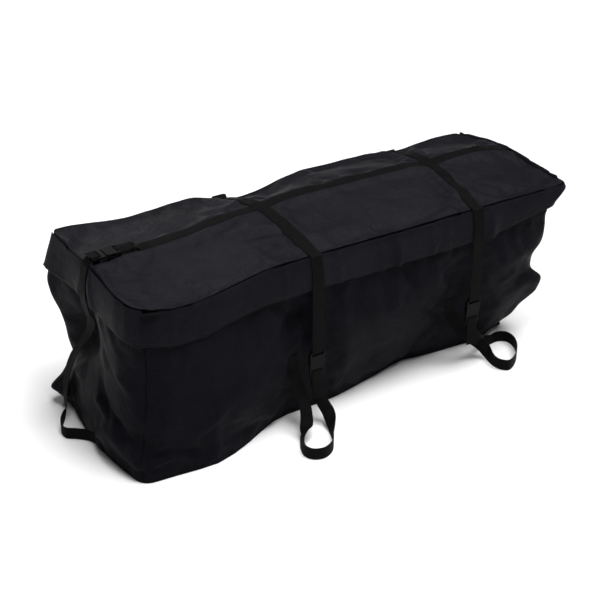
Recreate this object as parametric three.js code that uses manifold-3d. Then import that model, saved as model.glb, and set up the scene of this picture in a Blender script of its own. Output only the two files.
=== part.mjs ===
import * as THREE from 'three';
import { mergeVertices } from 'three/addons/utils/BufferGeometryUtils.js';
import Module from 'manifold-3d';

const wasm = await Module();
wasm.setup();

// Driving dimensions in millimetres: +X along the bag, -Y the long front face, +Z up, floor at z = 0.
const bagLength = 1500;
const bagDepth = 540;
const bagHeight = 550;
const fabricThickness = 2.5;
const seamGap = 0.3;
const footRadius = 32;
const lidRadius = 28;
const wideLidRadius = 105;

// Zip, lid and the rain flap that covers the zip on three sides.
const zipBelowLid = 70;
const zipTapeWidth = 12;
const zipTapeThickness = 1;
const zipChainWidth = 5.2;
const zipChainThickness = 3.9;
const zipOpening = 6;
const flapDrop = 100;
const flapDropAtRightEnd = 62;
const flapStandOff = 14;
const lidCrown = 52;
const lidCrownAtLeftEnd = 14;
const crownRiseFrom = -540;
const crownRiseLength = 420;

// Webbing and its places: x of the two cross straps, y of the lengthwise one.
const webbingWidth = 38;
const webbingThickness = 1.8;
const webbingClearance = 0.5;
const crossStrapLeftX = -200;
const crossStrapRightX = 420;
const crossStrapSlant = 40;
const lengthwiseStrapY = 20;
const buckleHeight = 205;
const topBuckleInset = 52;

// Side-release buckle.
const slotClearance = 1;
const railWidth = 5;
const plugThickness = 6;
const plugBodyLength = 40;
const plugClearance = 0.7;
const socketLength = 44;
const socketThickness = 12;
const socketWall = 4.5;
const socketBarThickness = 5;

const zipHeight = bagHeight - zipBelowLid;
const halfLength = bagLength / 2;
const halfDepth = bagDepth / 2;
const halfWebbing = webbingWidth / 2;
const liftOverFabric = webbingClearance + webbingThickness / 2;

// Soft set-back of the front wall's foot: [x, distance behind the lid's edge].
const frontFoot = [
  [-750, -8], [-655, -16], [-551, -28], [-480, -12], [-401, 20], [-337, 52], [-269, 76], [-90, 78],
  [39, 101], [134, 122], [232, 144], [280, 132], [440, 118], [560, 116], [690, 148],
];
// Soft set-back of the right end: [share of the bag's height, distance inside the lid's end].
const rightLean = [[0, 88], [0.19, 58], [0.345, 38], [0.5, 64], [0.673, 68], [0.827, 66], [0.91, 52], [0.978, 0]];
const leanReach = 300;
const foldTop = 0.8 * bagHeight;
const foldPower = 1.6;

// Folds and bulges of the body walls: where, how far they reach, how far they push.
const wallFolds = [
  { at: [-halfLength, 130, 310], reach: [220, 175, 150], push: [60, -10, 0] },
  { at: [-halfLength, -40, 60], reach: [200, 370, 230], push: [-44, 0, 0] },
  { at: [-halfLength, halfDepth, 60], reach: [110, 110, 80], push: [-56, 6, 0] },
  { at: [-halfLength, halfDepth, 160], reach: [90, 120, 90], push: [18, -12, 0] },
  { at: [-halfLength, halfDepth, 400], reach: [170, 190, 152], push: [-32, 0, 0] },
  { at: [-258, -halfDepth, 370], reach: [62, 120, 88], push: [0, 34, 0] },
  { at: [-450, -halfDepth, 250], reach: [200, 160, 180], push: [0, -12, 0] },
  { at: [110, -halfDepth, 290], reach: [250, 160, 140], push: [0, -14, 0] },
  { at: [330, -halfDepth, 300], reach: [90, 140, 130], push: [0, 26, 0] },
  { at: [halfLength, -halfDepth, 280], reach: [230, 200, 90], push: [-20, 14, 0] },
  { at: [halfLength, -halfDepth, 190], reach: [200, 200, 96], push: [20, -16, 0] },
  { at: [0, halfDepth, 240], reach: [520, 160, 190], push: [0, -16, 0] },
];

// Dips of the lid's seam line: [x, y, reach along x, reach along y, depth]; a rise has a negative depth.
const seamDips = [
  [-620, -halfDepth, 290, 330, 40],
  [-100, halfDepth, 210, 230, 42],
  [-500, halfDepth, 190, 150, 14],
  [505, halfDepth, 150, 150, 16],
  [halfLength, 50, 270, 230, -20],
  [-halfLength, halfDepth, 190, 150, -10],
];
const strapPress = 12;
const strapPressReach = 110;

function clamp01(value) {
  return Math.min(1, Math.max(0, value));
}

function mix(from, to, share) {
  return from + (to - from) * share;
}

function smooth(share) {
  const t = clamp01(share);
  return t * t * (3 - 2 * t);
}

// Smooth curve through [position, value] knots, level beyond both ends.
function curveThrough(knots, position) {
  const last = knots.length - 1;
  if (position <= knots[0][0]) return knots[0][1];
  if (position >= knots[last][0]) return knots[last][1];
  let i = 0;
  while (position > knots[i + 1][0]) i += 1;
  const slopeAt = (k) => {
    if (k === 0 || k === last) return 0;
    return (knots[k + 1][1] - knots[k - 1][1]) / (knots[k + 1][0] - knots[k - 1][0]);
  };
  const span = knots[i + 1][0] - knots[i][0];
  const t = (position - knots[i][0]) / span;
  const rise = smooth(t);
  const start = t * (1 - t) * (1 - t) * span * slopeAt(i);
  const end = t * t * (t - 1) * span * slopeAt(i + 1);
  return mix(knots[i][1], knots[i + 1][1], rise) + start + end;
}

// The four sides run anticlockwise seen from above, from corner to corner.
const longSide = { half: halfLength, reach: halfDepth };
const shortSide = { half: halfDepth, reach: halfLength };
const sides = {
  front: { along: [1, 0], out: [0, -1], corners: ['frontLeft', 'frontRight'], ...longSide },
  right: { along: [0, 1], out: [1, 0], corners: ['frontRight', 'backRight'], ...shortSide },
  back: { along: [-1, 0], out: [0, 1], corners: ['backRight', 'backLeft'], ...longSide },
  left: { along: [0, -1], out: [-1, 0], corners: ['backLeft', 'frontLeft'], ...shortSide },
};

function cornerRadius(corner, level) {
  const top = corner === 'frontLeft' ? wideLidRadius : lidRadius;
  return mix(footRadius, top, smooth(level));
}

// Plan point of a side: column 0 to 1 is the first corner's half arc, 1 to 2 the straight stretch
// between the corners, 2 to 3 the last half arc.
function outlinePoint({ side, column, trim }, level, inset) {
  const { along, out, corners, half, reach } = sides[side];
  const [first, last] = corners.map((corner) => cornerRadius(corner, level));
  let u = mix(first - half, half - last, clamp01(column - 1));
  let v = reach - inset;
  if (column < 1) {
    const turn = Math.min((1 - column) * Math.PI / 4, Math.PI / 4 - trim / first);
    u -= (first - inset) * Math.sin(turn);
    v = reach - first + (first - inset) * Math.cos(turn);
  }
  if (column > 2) {
    const turn = Math.min((column - 2) * Math.PI / 4, Math.PI / 4 - trim / last);
    u += (last - inset) * Math.sin(turn);
    v = reach - last + (last - inset) * Math.cos(turn);
  }
  return [along[0] * u + out[0] * v, along[1] * u + out[1] * v];
}

function seamHeight(x, y) {
  let height = bagHeight;
  for (const [atX, atY, reachX, reachY, depth] of seamDips) {
    const q = ((x - atX) / reachX) ** 2 + ((y - atY) / reachY) ** 2;
    if (q < 1) height -= depth * (1 - q) ** 2;
  }
  return height;
}

// A point on a body wall at height z, `inset` millimetres inside its outer face.
function wallPoint(place, z, inset) {
  const [planX, planY] = outlinePoint(place, clamp01(z / bagHeight), inset);
  const point = new THREE.Vector3(planX, planY, z);
  const fade = Math.max(0, 1 - z / foldTop) ** foldPower;
  point.y += curveThrough(frontFoot, planX) * fade * clamp01(-planY / halfDepth) ** 1.5;
  point.x -= curveThrough(rightLean, z / bagHeight) * clamp01((planX - halfLength + leanReach) / leanReach) ** 1.5;
  for (const { at, reach, push } of wallFolds) {
    const away = [planX, planY, z].map((value, axis) => (value - at[axis]) / reach[axis]);
    const q = away[0] ** 2 + away[1] ** 2 + away[2] ** 2;
    if (q < 1) point.addScaledVector(new THREE.Vector3(...push), (1 - q) ** 2);
  }
  return point;
}

// Closed solid between two grids of points: rows by columns, the outer one facing column x row.
function shellBetween(outer, inner) {
  const rows = outer.length;
  const columns = outer[0].length;
  const positions = [];
  for (const grid of [outer, inner]) {
    for (const row of grid) {
      for (const point of row) positions.push(point.x, point.y, point.z);
    }
  }
  const o = (r, c) => r * columns + c;
  const i = (r, c) => rows * columns + r * columns + c;
  const indices = [];
  const quad = (a, b, c, d) => indices.push(a, b, c, a, c, d);
  for (let r = 0; r < rows - 1; r += 1) {
    for (let c = 0; c < columns - 1; c += 1) {
      quad(o(r, c), o(r, c + 1), o(r + 1, c + 1), o(r + 1, c));
      quad(i(r, c), i(r + 1, c), i(r + 1, c + 1), i(r, c + 1));
    }
    quad(o(r, 0), o(r + 1, 0), i(r + 1, 0), i(r, 0));
    quad(o(r + 1, columns - 1), o(r, columns - 1), i(r, columns - 1), i(r + 1, columns - 1));
  }
  for (let c = 0; c < columns - 1; c += 1) {
    quad(o(0, c + 1), o(0, c), i(0, c), i(0, c + 1));
    quad(o(rows - 1, c), o(rows - 1, c + 1), i(rows - 1, c + 1), i(rows - 1, c));
  }
  const geometry = new THREE.BufferGeometry();
  geometry.setAttribute('position', new THREE.Float32BufferAttribute(positions, 3));
  geometry.setIndex(indices);
  geometry.computeVertexNormals();
  return geometry;
}

// Joining and cutting of solids.
function toSolid(geometry) {
  const bare = geometry.clone();
  bare.deleteAttribute('normal');
  bare.deleteAttribute('uv');
  const merged = mergeVertices(bare, 1e-4);
  return new wasm.Manifold(new wasm.Mesh({
    numProp: 3,
    vertProperties: new Float32Array(merged.attributes.position.array),
    triVerts: new Uint32Array(merged.index.array),
  }));
}

function toGeometry(solid) {
  const mesh = solid.getMesh();
  const geometry = new THREE.BufferGeometry();
  geometry.setAttribute('position', new THREE.Float32BufferAttribute(mesh.vertProperties, 3));
  geometry.setIndex(Array.from(mesh.triVerts));
  geometry.computeVertexNormals();
  return geometry;
}

// A block given by its lowest and highest corner.
function blockSolid(low, high) {
  const size = high.map((value, axis) => value - low[axis]);
  const geometry = new THREE.BoxGeometry(...size);
  geometry.translate(...high.map((value, axis) => (value + low[axis]) / 2));
  return toSolid(geometry);
}

// A flat outline in x and z, made thick along y about y = 0.
function plateGeometry(shape, thickness) {
  const options = { depth: thickness, bevelEnabled: false, curveSegments: 2 };
  const geometry = new THREE.ExtrudeGeometry(shape, options);
  geometry.rotateX(Math.PI / 2);
  geometry.translate(0, thickness / 2, 0);
  return geometry;
}

// Materials.
const finishes = {
  fabric: { color: 0x17171c, roughness: 0.62, metalness: 0 },
  lining: { color: 0x141419, roughness: 0.7, metalness: 0 },
  webbing: { color: 0x161715, roughness: 0.8, metalness: 0 },
  buckle: { color: 0x101011, roughness: 0.42, metalness: 0 },
  zip: { color: 0x131314, roughness: 0.6, metalness: 0 },
  slider: { color: 0x202124, roughness: 0.35, metalness: 0.8 },
};

const bag = new THREE.Group();

function addPart(name, geometry, finish, parent = bag) {
  const mesh = new THREE.Mesh(geometry, new THREE.MeshStandardMaterial(finishes[finish]));
  mesh.name = name;
  parent.add(mesh);
  return mesh;
}

// Body walls: the front and both ends stop at the zip, the back runs up to the lid's seam.
const wallRows = 9;
const arcSteps = 2;
const sideSteps = { front: 24, right: 8, back: 18, left: 8 };

function sideColumns(side, trimStart, trimEnd) {
  const columns = [];
  for (let k = 0; k < arcSteps; k += 1) {
    columns.push({ side, column: k / arcSteps, trim: k === 0 ? trimStart : 0 });
  }
  for (let k = 0; k < sideSteps[side]; k += 1) {
    columns.push({ side, column: 1 + k / sideSteps[side], trim: 0 });
  }
  for (let k = 0; k <= arcSteps; k += 1) {
    columns.push({ side, column: 2 + k / arcSteps, trim: k === arcSteps ? trimEnd : 0 });
  }
  return columns;
}

// Grid of wall points: `heightsAt` gives each column's heights from low to high.
function wallGrid(columns, heightsAt, inset) {
  const posts = columns.map((place) => heightsAt(place).map((z) => wallPoint(place, z, inset)));
  return posts[0].map((_, row) => posts.map((post) => post[row]));
}

function seamHeightAt(place) {
  return seamHeight(...outlinePoint(place, 1, 0));
}

// Heights of the zip: wall top, lid foot and the outer edges of the two tapes.
const wallTop = zipHeight - zipOpening / 2;
const gussetFoot = zipHeight + zipOpening / 2;
const bodyTapeFoot = zipHeight - zipTapeWidth;
const lidTapeTop = zipHeight + zipTapeWidth;
const seamBand = 6;

function heightsBetween(low, high, rows) {
  return Array.from({ length: rows + 1 }, (_, r) => mix(low, high, r / rows));
}

function gussetHeights(place) {
  const seam = seamHeightAt(place);
  return [gussetFoot, lidTapeTop, seam - seamBand, seam];
}

function wallHeights(place) {
  const heights = [...heightsBetween(fabricThickness + seamGap, bodyTapeFoot, wallRows), wallTop];
  if (place.side === 'back') heights.push(...gussetHeights(place));
  return heights;
}

const walls = {};
for (const side of ['front', 'right', 'back', 'left']) {
  const columns = sideColumns(side, seamGap / 2, seamGap / 2);
  const outer = wallGrid(columns, wallHeights, 0);
  const inner = wallGrid(columns, wallHeights, fabricThickness);
  const name = side === 'front' || side === 'back' ? `${side}_panel` : `${side}_end_panel`;
  walls[side] = addPart(name, shellBetween(outer, inner), 'fabric');
}

// Bottom panel: the walls stand on its rim.
function bottomPanel() {
  const rim = ['front', 'right', 'back', 'left'].flatMap((side) => sideColumns(side, 0, 0).slice(0, -1));
  const outline = rim.map((place) => wallPoint(place, 0, 0)).map(({ x, y }) => new THREE.Vector2(x, y));
  const options = { depth: fabricThickness, bevelEnabled: false };
  return new THREE.ExtrudeGeometry(new THREE.Shape(outline), options);
}
addPart('bottom_panel', bottomPanel(), 'lining');

// Strips that run round the left end, the front and the right end.
function threeSideColumns() {
  return [
    ...sideColumns('left', seamGap / 2, 0).slice(0, -1),
    ...sideColumns('front', 0, 0).slice(0, -1),
    ...sideColumns('right', 0, seamGap / 2),
  ];
}

function addStrip(name, finish, heightsAt, innerOffset, outerOffset) {
  const columns = threeSideColumns();
  const outer = wallGrid(columns, heightsAt, -outerOffset);
  const inner = wallGrid(columns, heightsAt, -innerOffset);
  return addPart(name, shellBetween(outer, inner), finish);
}

addStrip('lid_gusset', 'fabric', gussetHeights, -fabricThickness, 0);

const tapeFace = seamGap + zipTapeThickness;
const chainRise = 0.6;
const chainFace = tapeFace + chainRise;
const chainHeights = () => [zipHeight - zipChainWidth / 2, zipHeight + zipChainWidth / 2];
addStrip('zip_tape_body', 'zip', () => [bodyTapeFoot, wallTop], seamGap, tapeFace);
addStrip('zip_tape_lid', 'zip', () => [gussetFoot, lidTapeTop], seamGap, tapeFace);
addStrip('zip_chain', 'zip', chainHeights, chainFace - zipChainThickness, chainFace);

// Rain flap: sewn under the lid's seam, it stands off the zip and hangs to just below it.
const flapRows = 4;
const flapSeamDrop = 1;

function flapOffset(share) {
  return seamGap + flapStandOff * (1 - (1 - share) ** 3);
}

function flapDropAt(x) {
  return mix(flapDrop, flapDropAtRightEnd, smooth((x - halfLength + leanReach) / leanReach));
}

function flapGrid(thickness) {
  const columns = threeSideColumns();
  const grid = [];
  for (let r = flapRows; r >= 0; r -= 1) {
    const share = r / flapRows;
    grid.push(columns.map((place) => {
      const [x] = outlinePoint(place, 1, 0);
      const z = seamHeightAt(place) - flapSeamDrop - flapDropAt(x) * share;
      return wallPoint(place, z, -flapOffset(share) - thickness);
    }));
  }
  return grid;
}
addPart('lid_flap', shellBetween(flapGrid(fabricThickness), flapGrid(0)), 'fabric');

// Lid panel: a grid whose lines run under the edges of the three straps.
const lidInset = fabricThickness + seamGap;
const lidCornerEase = 6;
const lidStep = 75;
const strapShoulder = 15;

function lidRim(x, corner) {
  const radius = cornerRadius(corner, 1) + lidCornerEase - lidInset;
  const intoCorner = Math.abs(x) - (halfLength - lidInset - radius);
  const straight = halfDepth - lidInset;
  if (intoCorner <= 0) return straight;
  return straight - radius + Math.sqrt(Math.max(0, radius ** 2 - intoCorner ** 2));
}

function lidHeight(x, y) {
  const across = 1 - (y / (halfDepth - lidInset)) ** 2;
  const along = 1 - (x / (halfLength - lidInset)) ** 6;
  let crown = mix(lidCrownAtLeftEnd, lidCrown, smooth((x - crownRiseFrom) / crownRiseLength));
  for (const strapX of [crossStrapLeftX, crossStrapRightX]) {
    const q = ((x - strapX) / strapPressReach) ** 2;
    if (q < 1) crown -= strapPress * (1 - q) ** 2;
  }
  return seamHeight(x, y) + crown * clamp01(across) * clamp01(along);
}

function stations(from, to, step) {
  const count = Math.max(1, Math.ceil(Math.abs(to - from) / step));
  return Array.from({ length: count }, (_, k) => mix(from, to, k / count));
}

// The columns lie closer together where the rim turns round a corner.
function lidColumns() {
  const end = halfLength - lidInset;
  const cornerShares = [0, 0.08, 0.3, 0.62];
  const left = cornerShares.map((share) => share * wideLidRadius - end);
  const right = cornerShares.map((share) => end - share * lidRadius).reverse();
  return [
    ...left,
    ...stations(wideLidRadius - end, crossStrapLeftX - halfWebbing, lidStep),
    crossStrapLeftX - halfWebbing,
    ...stations(crossStrapLeftX + halfWebbing, crossStrapRightX - halfWebbing, lidStep),
    crossStrapRightX - halfWebbing,
    ...stations(crossStrapRightX + halfWebbing, end - lidRadius, lidStep),
    end - lidRadius,
    ...right,
  ];
}

// The grid's cross lines lean a little near the right strap, as the strap itself does.
const slantReach = 260;

function leanedX(x, y) {
  const q = ((x - crossStrapRightX) / slantReach) ** 2;
  return q < 1 ? x + crossStrapSlant * (1 - q) ** 2 * (y / halfDepth) : x;
}

function lidRows(x) {
  const low = lengthwiseStrapY - halfWebbing;
  const high = lengthwiseStrapY + halfWebbing;
  const cornerFront = x < 0 ? 'frontLeft' : 'frontRight';
  const cornerBack = x < 0 ? 'backLeft' : 'backRight';
  const front = [1, 0.66, 0.32, 0].map((share) => mix(low - strapShoulder, -lidRim(x, cornerFront), share));
  const back = [0, 0.34, 0.68, 1].map((share) => mix(high + strapShoulder, lidRim(x, cornerBack), share));
  return [...front, low, high, ...back];
}

function lidGrid(drop) {
  const columns = lidColumns().map((x) => lidRows(x).map((y) => {
    const leaned = leanedX(x, y);
    return new THREE.Vector3(leaned, y, lidHeight(leaned, y) - drop);
  }));
  return columns[0].map((_, row) => columns.map((column) => column[row]));
}
const lowStrapRow = 4;
const lidTop = lidGrid(0);
addPart('lid_panel', shellBetween(lidTop, lidGrid(fabricThickness)), 'fabric');

// Webbing: a flat band along stations that each hold their two edge points.
function bandGeometry(path) {
  const upper = [];
  const lower = [];
  path.forEach(({ left, right }, k) => {
    const before = path[Math.max(0, k - 1)];
    const after = path[Math.min(path.length - 1, k + 1)];
    const tangent = new THREE.Vector3().add(after.left).add(after.right).sub(before.left).sub(before.right);
    const across = new THREE.Vector3().subVectors(right, left);
    const half = across.cross(tangent).normalize().multiplyScalar(webbingThickness / 2);
    upper.push([left.clone().add(half), right.clone().add(half)]);
    lower.push([left.clone().sub(half), right.clone().sub(half)]);
  });
  return shellBetween(upper, lower);
}

// A station from its centre and the direction of its width.
function station(centre, across) {
  const half = across.clone().normalize().multiplyScalar(halfWebbing);
  return { left: centre.clone().sub(half), right: centre.clone().add(half) };
}

function rayHit(mesh, from, direction) {
  const caster = new THREE.Raycaster(from, direction.clone().normalize());
  return caster.intersectObject(mesh)[0].point;
}

// Buckle frame: x across the webbing, -y away from the bag, +z up the strap.
// Plug and socket meet at z = 0.
const slotWidth = webbingWidth + 2 * slotClearance;
const plugWidth = slotWidth + 2 * railWidth;
const socketWidth = plugWidth + 2;
const cavityHalfWidth = socketWidth / 2 - socketWall;
const armReach = 26;
const headWidth = 3;
const windowFoot = 11;
const windowTop = 23;
const armClearance = 3;
const armWidth = 5;
const guideHalfWidth = 3;
const plugCorner = 4;
const slotLength = 6.5;
const barLength = 6;
const lowSlotFoot = -plugBodyLength + barLength + 1;
const midBarFoot = lowSlotFoot + slotLength;
const highSlotFoot = midBarFoot + barLength;
const strandOffset = plugThickness / 2 + plugClearance + webbingThickness / 2;
const socketBarFoot = socketLength - socketWall;
const socketBarOffset = socketBarThickness / 2 + plugClearance + webbingThickness / 2 + 0.3;

function roundedRectangle(width, low, high, radius) {
  const shape = new THREE.Shape();
  const right = width / 2;
  shape.moveTo(radius - right, low);
  shape.lineTo(right - radius, low);
  shape.absarc(right - radius, low + radius, radius, -Math.PI / 2, 0);
  shape.lineTo(right, high - radius);
  shape.absarc(right - radius, high - radius, radius, 0, Math.PI / 2);
  shape.lineTo(radius - right, high);
  shape.absarc(radius - right, high - radius, radius, Math.PI / 2, Math.PI);
  shape.lineTo(-right, low + radius);
  shape.absarc(radius - right, low + radius, radius, Math.PI, Math.PI * 1.5);
  return shape;
}

function socketGeometry() {
  const half = socketThickness / 2;
  const cavityHalf = plugThickness / 2 + plugClearance;
  const wide = socketWidth;
  const slotTop = socketBarFoot;
  const slotFoot = slotTop - slotLength;
  const openSlot = slotWidth / 2;
  const barHalf = socketBarThickness / 2;
  const cuts = [
    blockSolid([-cavityHalfWidth, -cavityHalf, -1], [cavityHalfWidth, cavityHalf, armReach + 2]),
    blockSolid([-wide, -cavityHalf, windowFoot], [wide, cavityHalf, windowTop]),
    blockSolid([-openSlot, -wide, slotFoot], [openSlot, wide, slotTop]),
    blockSolid([-openSlot, barHalf, slotFoot], [openSlot, wide, wide]),
    blockSolid([-openSlot, -wide, slotFoot], [openSlot, -barHalf, wide]),
  ];
  let solid = toSolid(plateGeometry(roundedRectangle(socketWidth, 0, socketLength, 5), 2 * half));
  for (const cut of cuts) solid = solid.subtract(cut);
  return toGeometry(solid);
}

function plugGeometry() {
  const foot = -plugBodyLength;
  const right = plugWidth / 2;
  const shoulder = -seamGap;
  const armOuter = cavityHalfWidth - armClearance;
  const armInner = armOuter - armWidth;
  const head = cavityHalfWidth + headWidth;
  const headFoot = windowFoot + slotClearance;
  const tipOuter = mix(armInner, armOuter, 0.8);
  const rightHalf = [
    [right - plugCorner, foot], [right, foot + plugCorner], [right, shoulder], [armOuter, shoulder],
    [armOuter, headFoot], [head, headFoot + 1], [head, headFoot + 4], [tipOuter, armReach],
    [armInner, armReach], [armInner, shoulder],
    [guideHalfWidth + 1, shoulder], [guideHalfWidth, armReach - 2],
  ];
  const leftHalf = rightHalf.map(([x, z]) => [-x, z]).reverse();
  const shape = new THREE.Shape([...rightHalf, ...leftHalf].map(([x, z]) => new THREE.Vector2(x, z)));
  for (const low of [lowSlotFoot, highSlotFoot]) {
    const slot = roundedRectangle(slotWidth, low, low + slotLength, 1.5);
    shape.holes.push(new THREE.Path(slot.getPoints(2)));
  }
  return plateGeometry(shape, plugThickness);
}

function buckleFrame(origin, zTurn, topSide) {
  const frame = new THREE.Group();
  frame.position.copy(origin);
  frame.rotation.order = 'ZYX';
  frame.rotation.z = zTurn;
  if (topSide) frame.rotation.set(-Math.PI / 2, 0, zTurn);
  frame.updateMatrixWorld(true);
  bag.add(frame);
  return frame;
}

// A station given by its centre in a frame's own coordinates.
function frameStation(frame, y, z, shift = 0) {
  const across = new THREE.Vector3(1, 0, 0).transformDirection(frame.matrixWorld);
  return station(new THREE.Vector3(shift, y, z).applyMatrix4(frame.matrixWorld), across);
}

// The sewn end of an over-strap: it turns round the socket's bar and is stitched back on itself.
const turnSteps = 6;
const sewnLength = 44;

function socketTurn(frame) {
  const centre = socketBarFoot + 1.5;
  const sewnLayer = webbingThickness + webbingClearance - socketBarOffset;
  const path = [
    frameStation(frame, sewnLayer, centre + sewnLength),
    frameStation(frame, sewnLayer, centre + 20),
    frameStation(frame, socketBarOffset, centre + 5),
  ];
  for (let k = 0; k <= turnSteps; k += 1) {
    const turn = Math.PI * k / turnSteps;
    const along = centre - socketBarOffset * Math.sin(turn);
    path.push(frameStation(frame, socketBarOffset * Math.cos(turn), along));
  }
  path.push(frameStation(frame, -socketBarOffset, centre + 20));
  path.push(frameStation(frame, -socketBarOffset, centre + sewnLength + 2));
  return path;
}

// The adjustable end of a tie strap: free tail outside, round the plug's middle bar, then down
// behind the plug.
function plugTurn(frame, tailLength) {
  const centre = highSlotFoot - 1.5;
  const path = [
    frameStation(frame, -strandOffset - 3, -plugBodyLength - tailLength),
    frameStation(frame, -strandOffset - 1, -plugBodyLength - tailLength / 2),
    frameStation(frame, -strandOffset, -plugBodyLength + 2),
  ];
  for (let k = 0; k <= turnSteps; k += 1) {
    const turn = Math.PI * k / turnSteps;
    const along = centre + strandOffset * Math.sin(turn);
    path.push(frameStation(frame, -strandOffset * Math.cos(turn), along));
  }
  path.push(frameStation(frame, strandOffset, -plugBodyLength - 4));
  return path;
}

const hangClearance = 3;
const flapFace = flapStandOff + seamGap + fabricThickness;
const bendEase = 0.6;
const strapDrop = {
  front: flapFace,
  right: flapFace,
  back: hangClearance + socketThickness / 2 + socketBarOffset - liftOverFabric,
};
const sideTurn = { front: 0, right: Math.PI / 2, back: Math.PI, left: -Math.PI / 2 };

// Distance of the hanging strap's centre plane from the bag's centre, on each side.
function hangPlane(side) {
  return sides[side].reach + strapDrop[side] + liftOverFabric;
}

// A point from its place along a side, its distance outwards from the bag's centre and its height.
function sidePoint(side, along, out, z) {
  const { along: a, out: o } = sides[side];
  return new THREE.Vector3(a[0] * along + o[0] * out, a[1] * along + o[1] * out, z);
}

function hangingFrame(side, along) {
  const centre = hangPlane(side) - socketBarOffset;
  return buckleFrame(sidePoint(side, along, centre, buckleHeight), sideTurn[side], false);
}

// The stretch of an over-strap that bends over the lid's edge, from the hanging part up to the lid.
function edgeBend(side, along) {
  const edge = sides[side].reach;
  const middle = sidePoint(side, along, edge, 0);
  const edges = [along - halfWebbing, along + halfWebbing].map((place) => sidePoint(side, place, edge, 0));
  const seam = Math.max(...edges.map(({ x, y }) => seamHeight(x, y)));
  const across = new THREE.Vector3(sides[side].along[0], sides[side].along[1], 0);
  const points = [];
  if (side !== 'back') {
    const drop = flapDropAt(middle.x);
    for (const share of [1, 0.6, 0.3, 0.12]) {
      const out = edge + flapOffset(share) + fabricThickness + liftOverFabric + bendEase;
      points.push([out, seam - flapSeamDrop - drop * share]);
    }
  } else {
    points.push([hangPlane(side), seam - 40]);
    points.push([edge + liftOverFabric + 1, seam - 14]);
  }
  points.push([edge + fabricThickness + liftOverFabric + 1, seam + 0.5]);
  points.push([edge - 1, seam + liftOverFabric + 3.2]);
  return points.map(([out, z]) => station(sidePoint(side, along, out, z), across));
}

function lidStation(left, right, lift) {
  const up = new THREE.Vector3(0, 0, liftOverFabric + lift);
  return { left: left.clone().add(up), right: right.clone().add(up) };
}

function flipped(path) {
  return path.map(({ left, right }) => ({ left: right, right: left })).reverse();
}

const sockets = socketGeometry();
const plugs = plugGeometry();
const columnXs = lidColumns();

function addBuckle(name, frame) {
  addPart(`buckle_socket_${name}`, sockets.clone(), 'buckle', frame);
  addPart(`buckle_plug_${name}`, plugs.clone(), 'buckle', frame);
}

// Cross straps, from the front buckle over the lid to the back buckle, above the lengthwise strap.
const frames = {};
const crossStraps = [['left', crossStrapLeftX, 0], ['right', crossStrapRightX, crossStrapSlant]];
for (const [name, strapX, slant] of crossStraps) {
  frames[`front_${name}`] = hangingFrame('front', strapX - slant);
  frames[`back_${name}`] = hangingFrame('back', -strapX - slant);
  const column = columnXs.indexOf(strapX - halfWebbing);
  const overLid = lidTop.slice(1, -1).map((row, k) => {
    const overStrap = k + 1 === lowStrapRow || k === lowStrapRow;
    return lidStation(row[column], row[column + 1], overStrap ? webbingThickness + webbingClearance : 0);
  });
  const path = [
    ...socketTurn(frames[`front_${name}`]),
    ...edgeBend('front', strapX - slant),
    ...overLid,
    ...flipped([...socketTurn(frames[`back_${name}`]), ...edgeBend('back', -strapX - slant)]),
  ];
  addPart(`cross_strap_${name}`, bandGeometry(path), 'webbing');
}

// Lengthwise strap: its left buckle lies on the lid, its right one hangs below the right end's flap.
function topBuckleFrame() {
  const x = -halfLength + topBuckleInset;
  const low = Math.max(x - plugBodyLength, 1 + lidInset - halfLength);
  const high = x + socketLength + sewnLength;
  const half = socketWidth / 2;
  const heights = [];
  for (let atX = low; atX <= high; atX += 10) {
    for (let atY = lengthwiseStrapY - half; atY <= lengthwiseStrapY + half; atY += 5) {
      heights.push(lidHeight(atX, atY));
    }
  }
  const lift = Math.max(socketThickness / 2, strandOffset + webbingThickness / 2) + hangClearance;
  const centre = new THREE.Vector3(x, lengthwiseStrapY, Math.max(...heights) + lift);
  return buckleFrame(centre, -Math.PI / 2, true);
}

frames.left_end = topBuckleFrame();
frames.right_end = hangingFrame('right', lengthwiseStrapY);

function lengthwisePath() {
  const start = socketTurn(frames.left_end);
  const clearOfBuckle = start[start.length - 1].left.x + 25;
  const overLid = [];
  lidTop[lowStrapRow].forEach((point, k) => {
    if (point.x > clearOfBuckle) overLid.push(lidStation(lidTop[lowStrapRow + 1][k], point, 0));
  });
  const end = [...socketTurn(frames.right_end), ...edgeBend('right', lengthwiseStrapY)];
  return [...start, ...overLid, ...flipped(end)];
}
addPart('lengthwise_strap', bandGeometry(lengthwisePath()), 'webbing');

for (const [name, frame] of Object.entries(frames)) addBuckle(name, frame);

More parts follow.
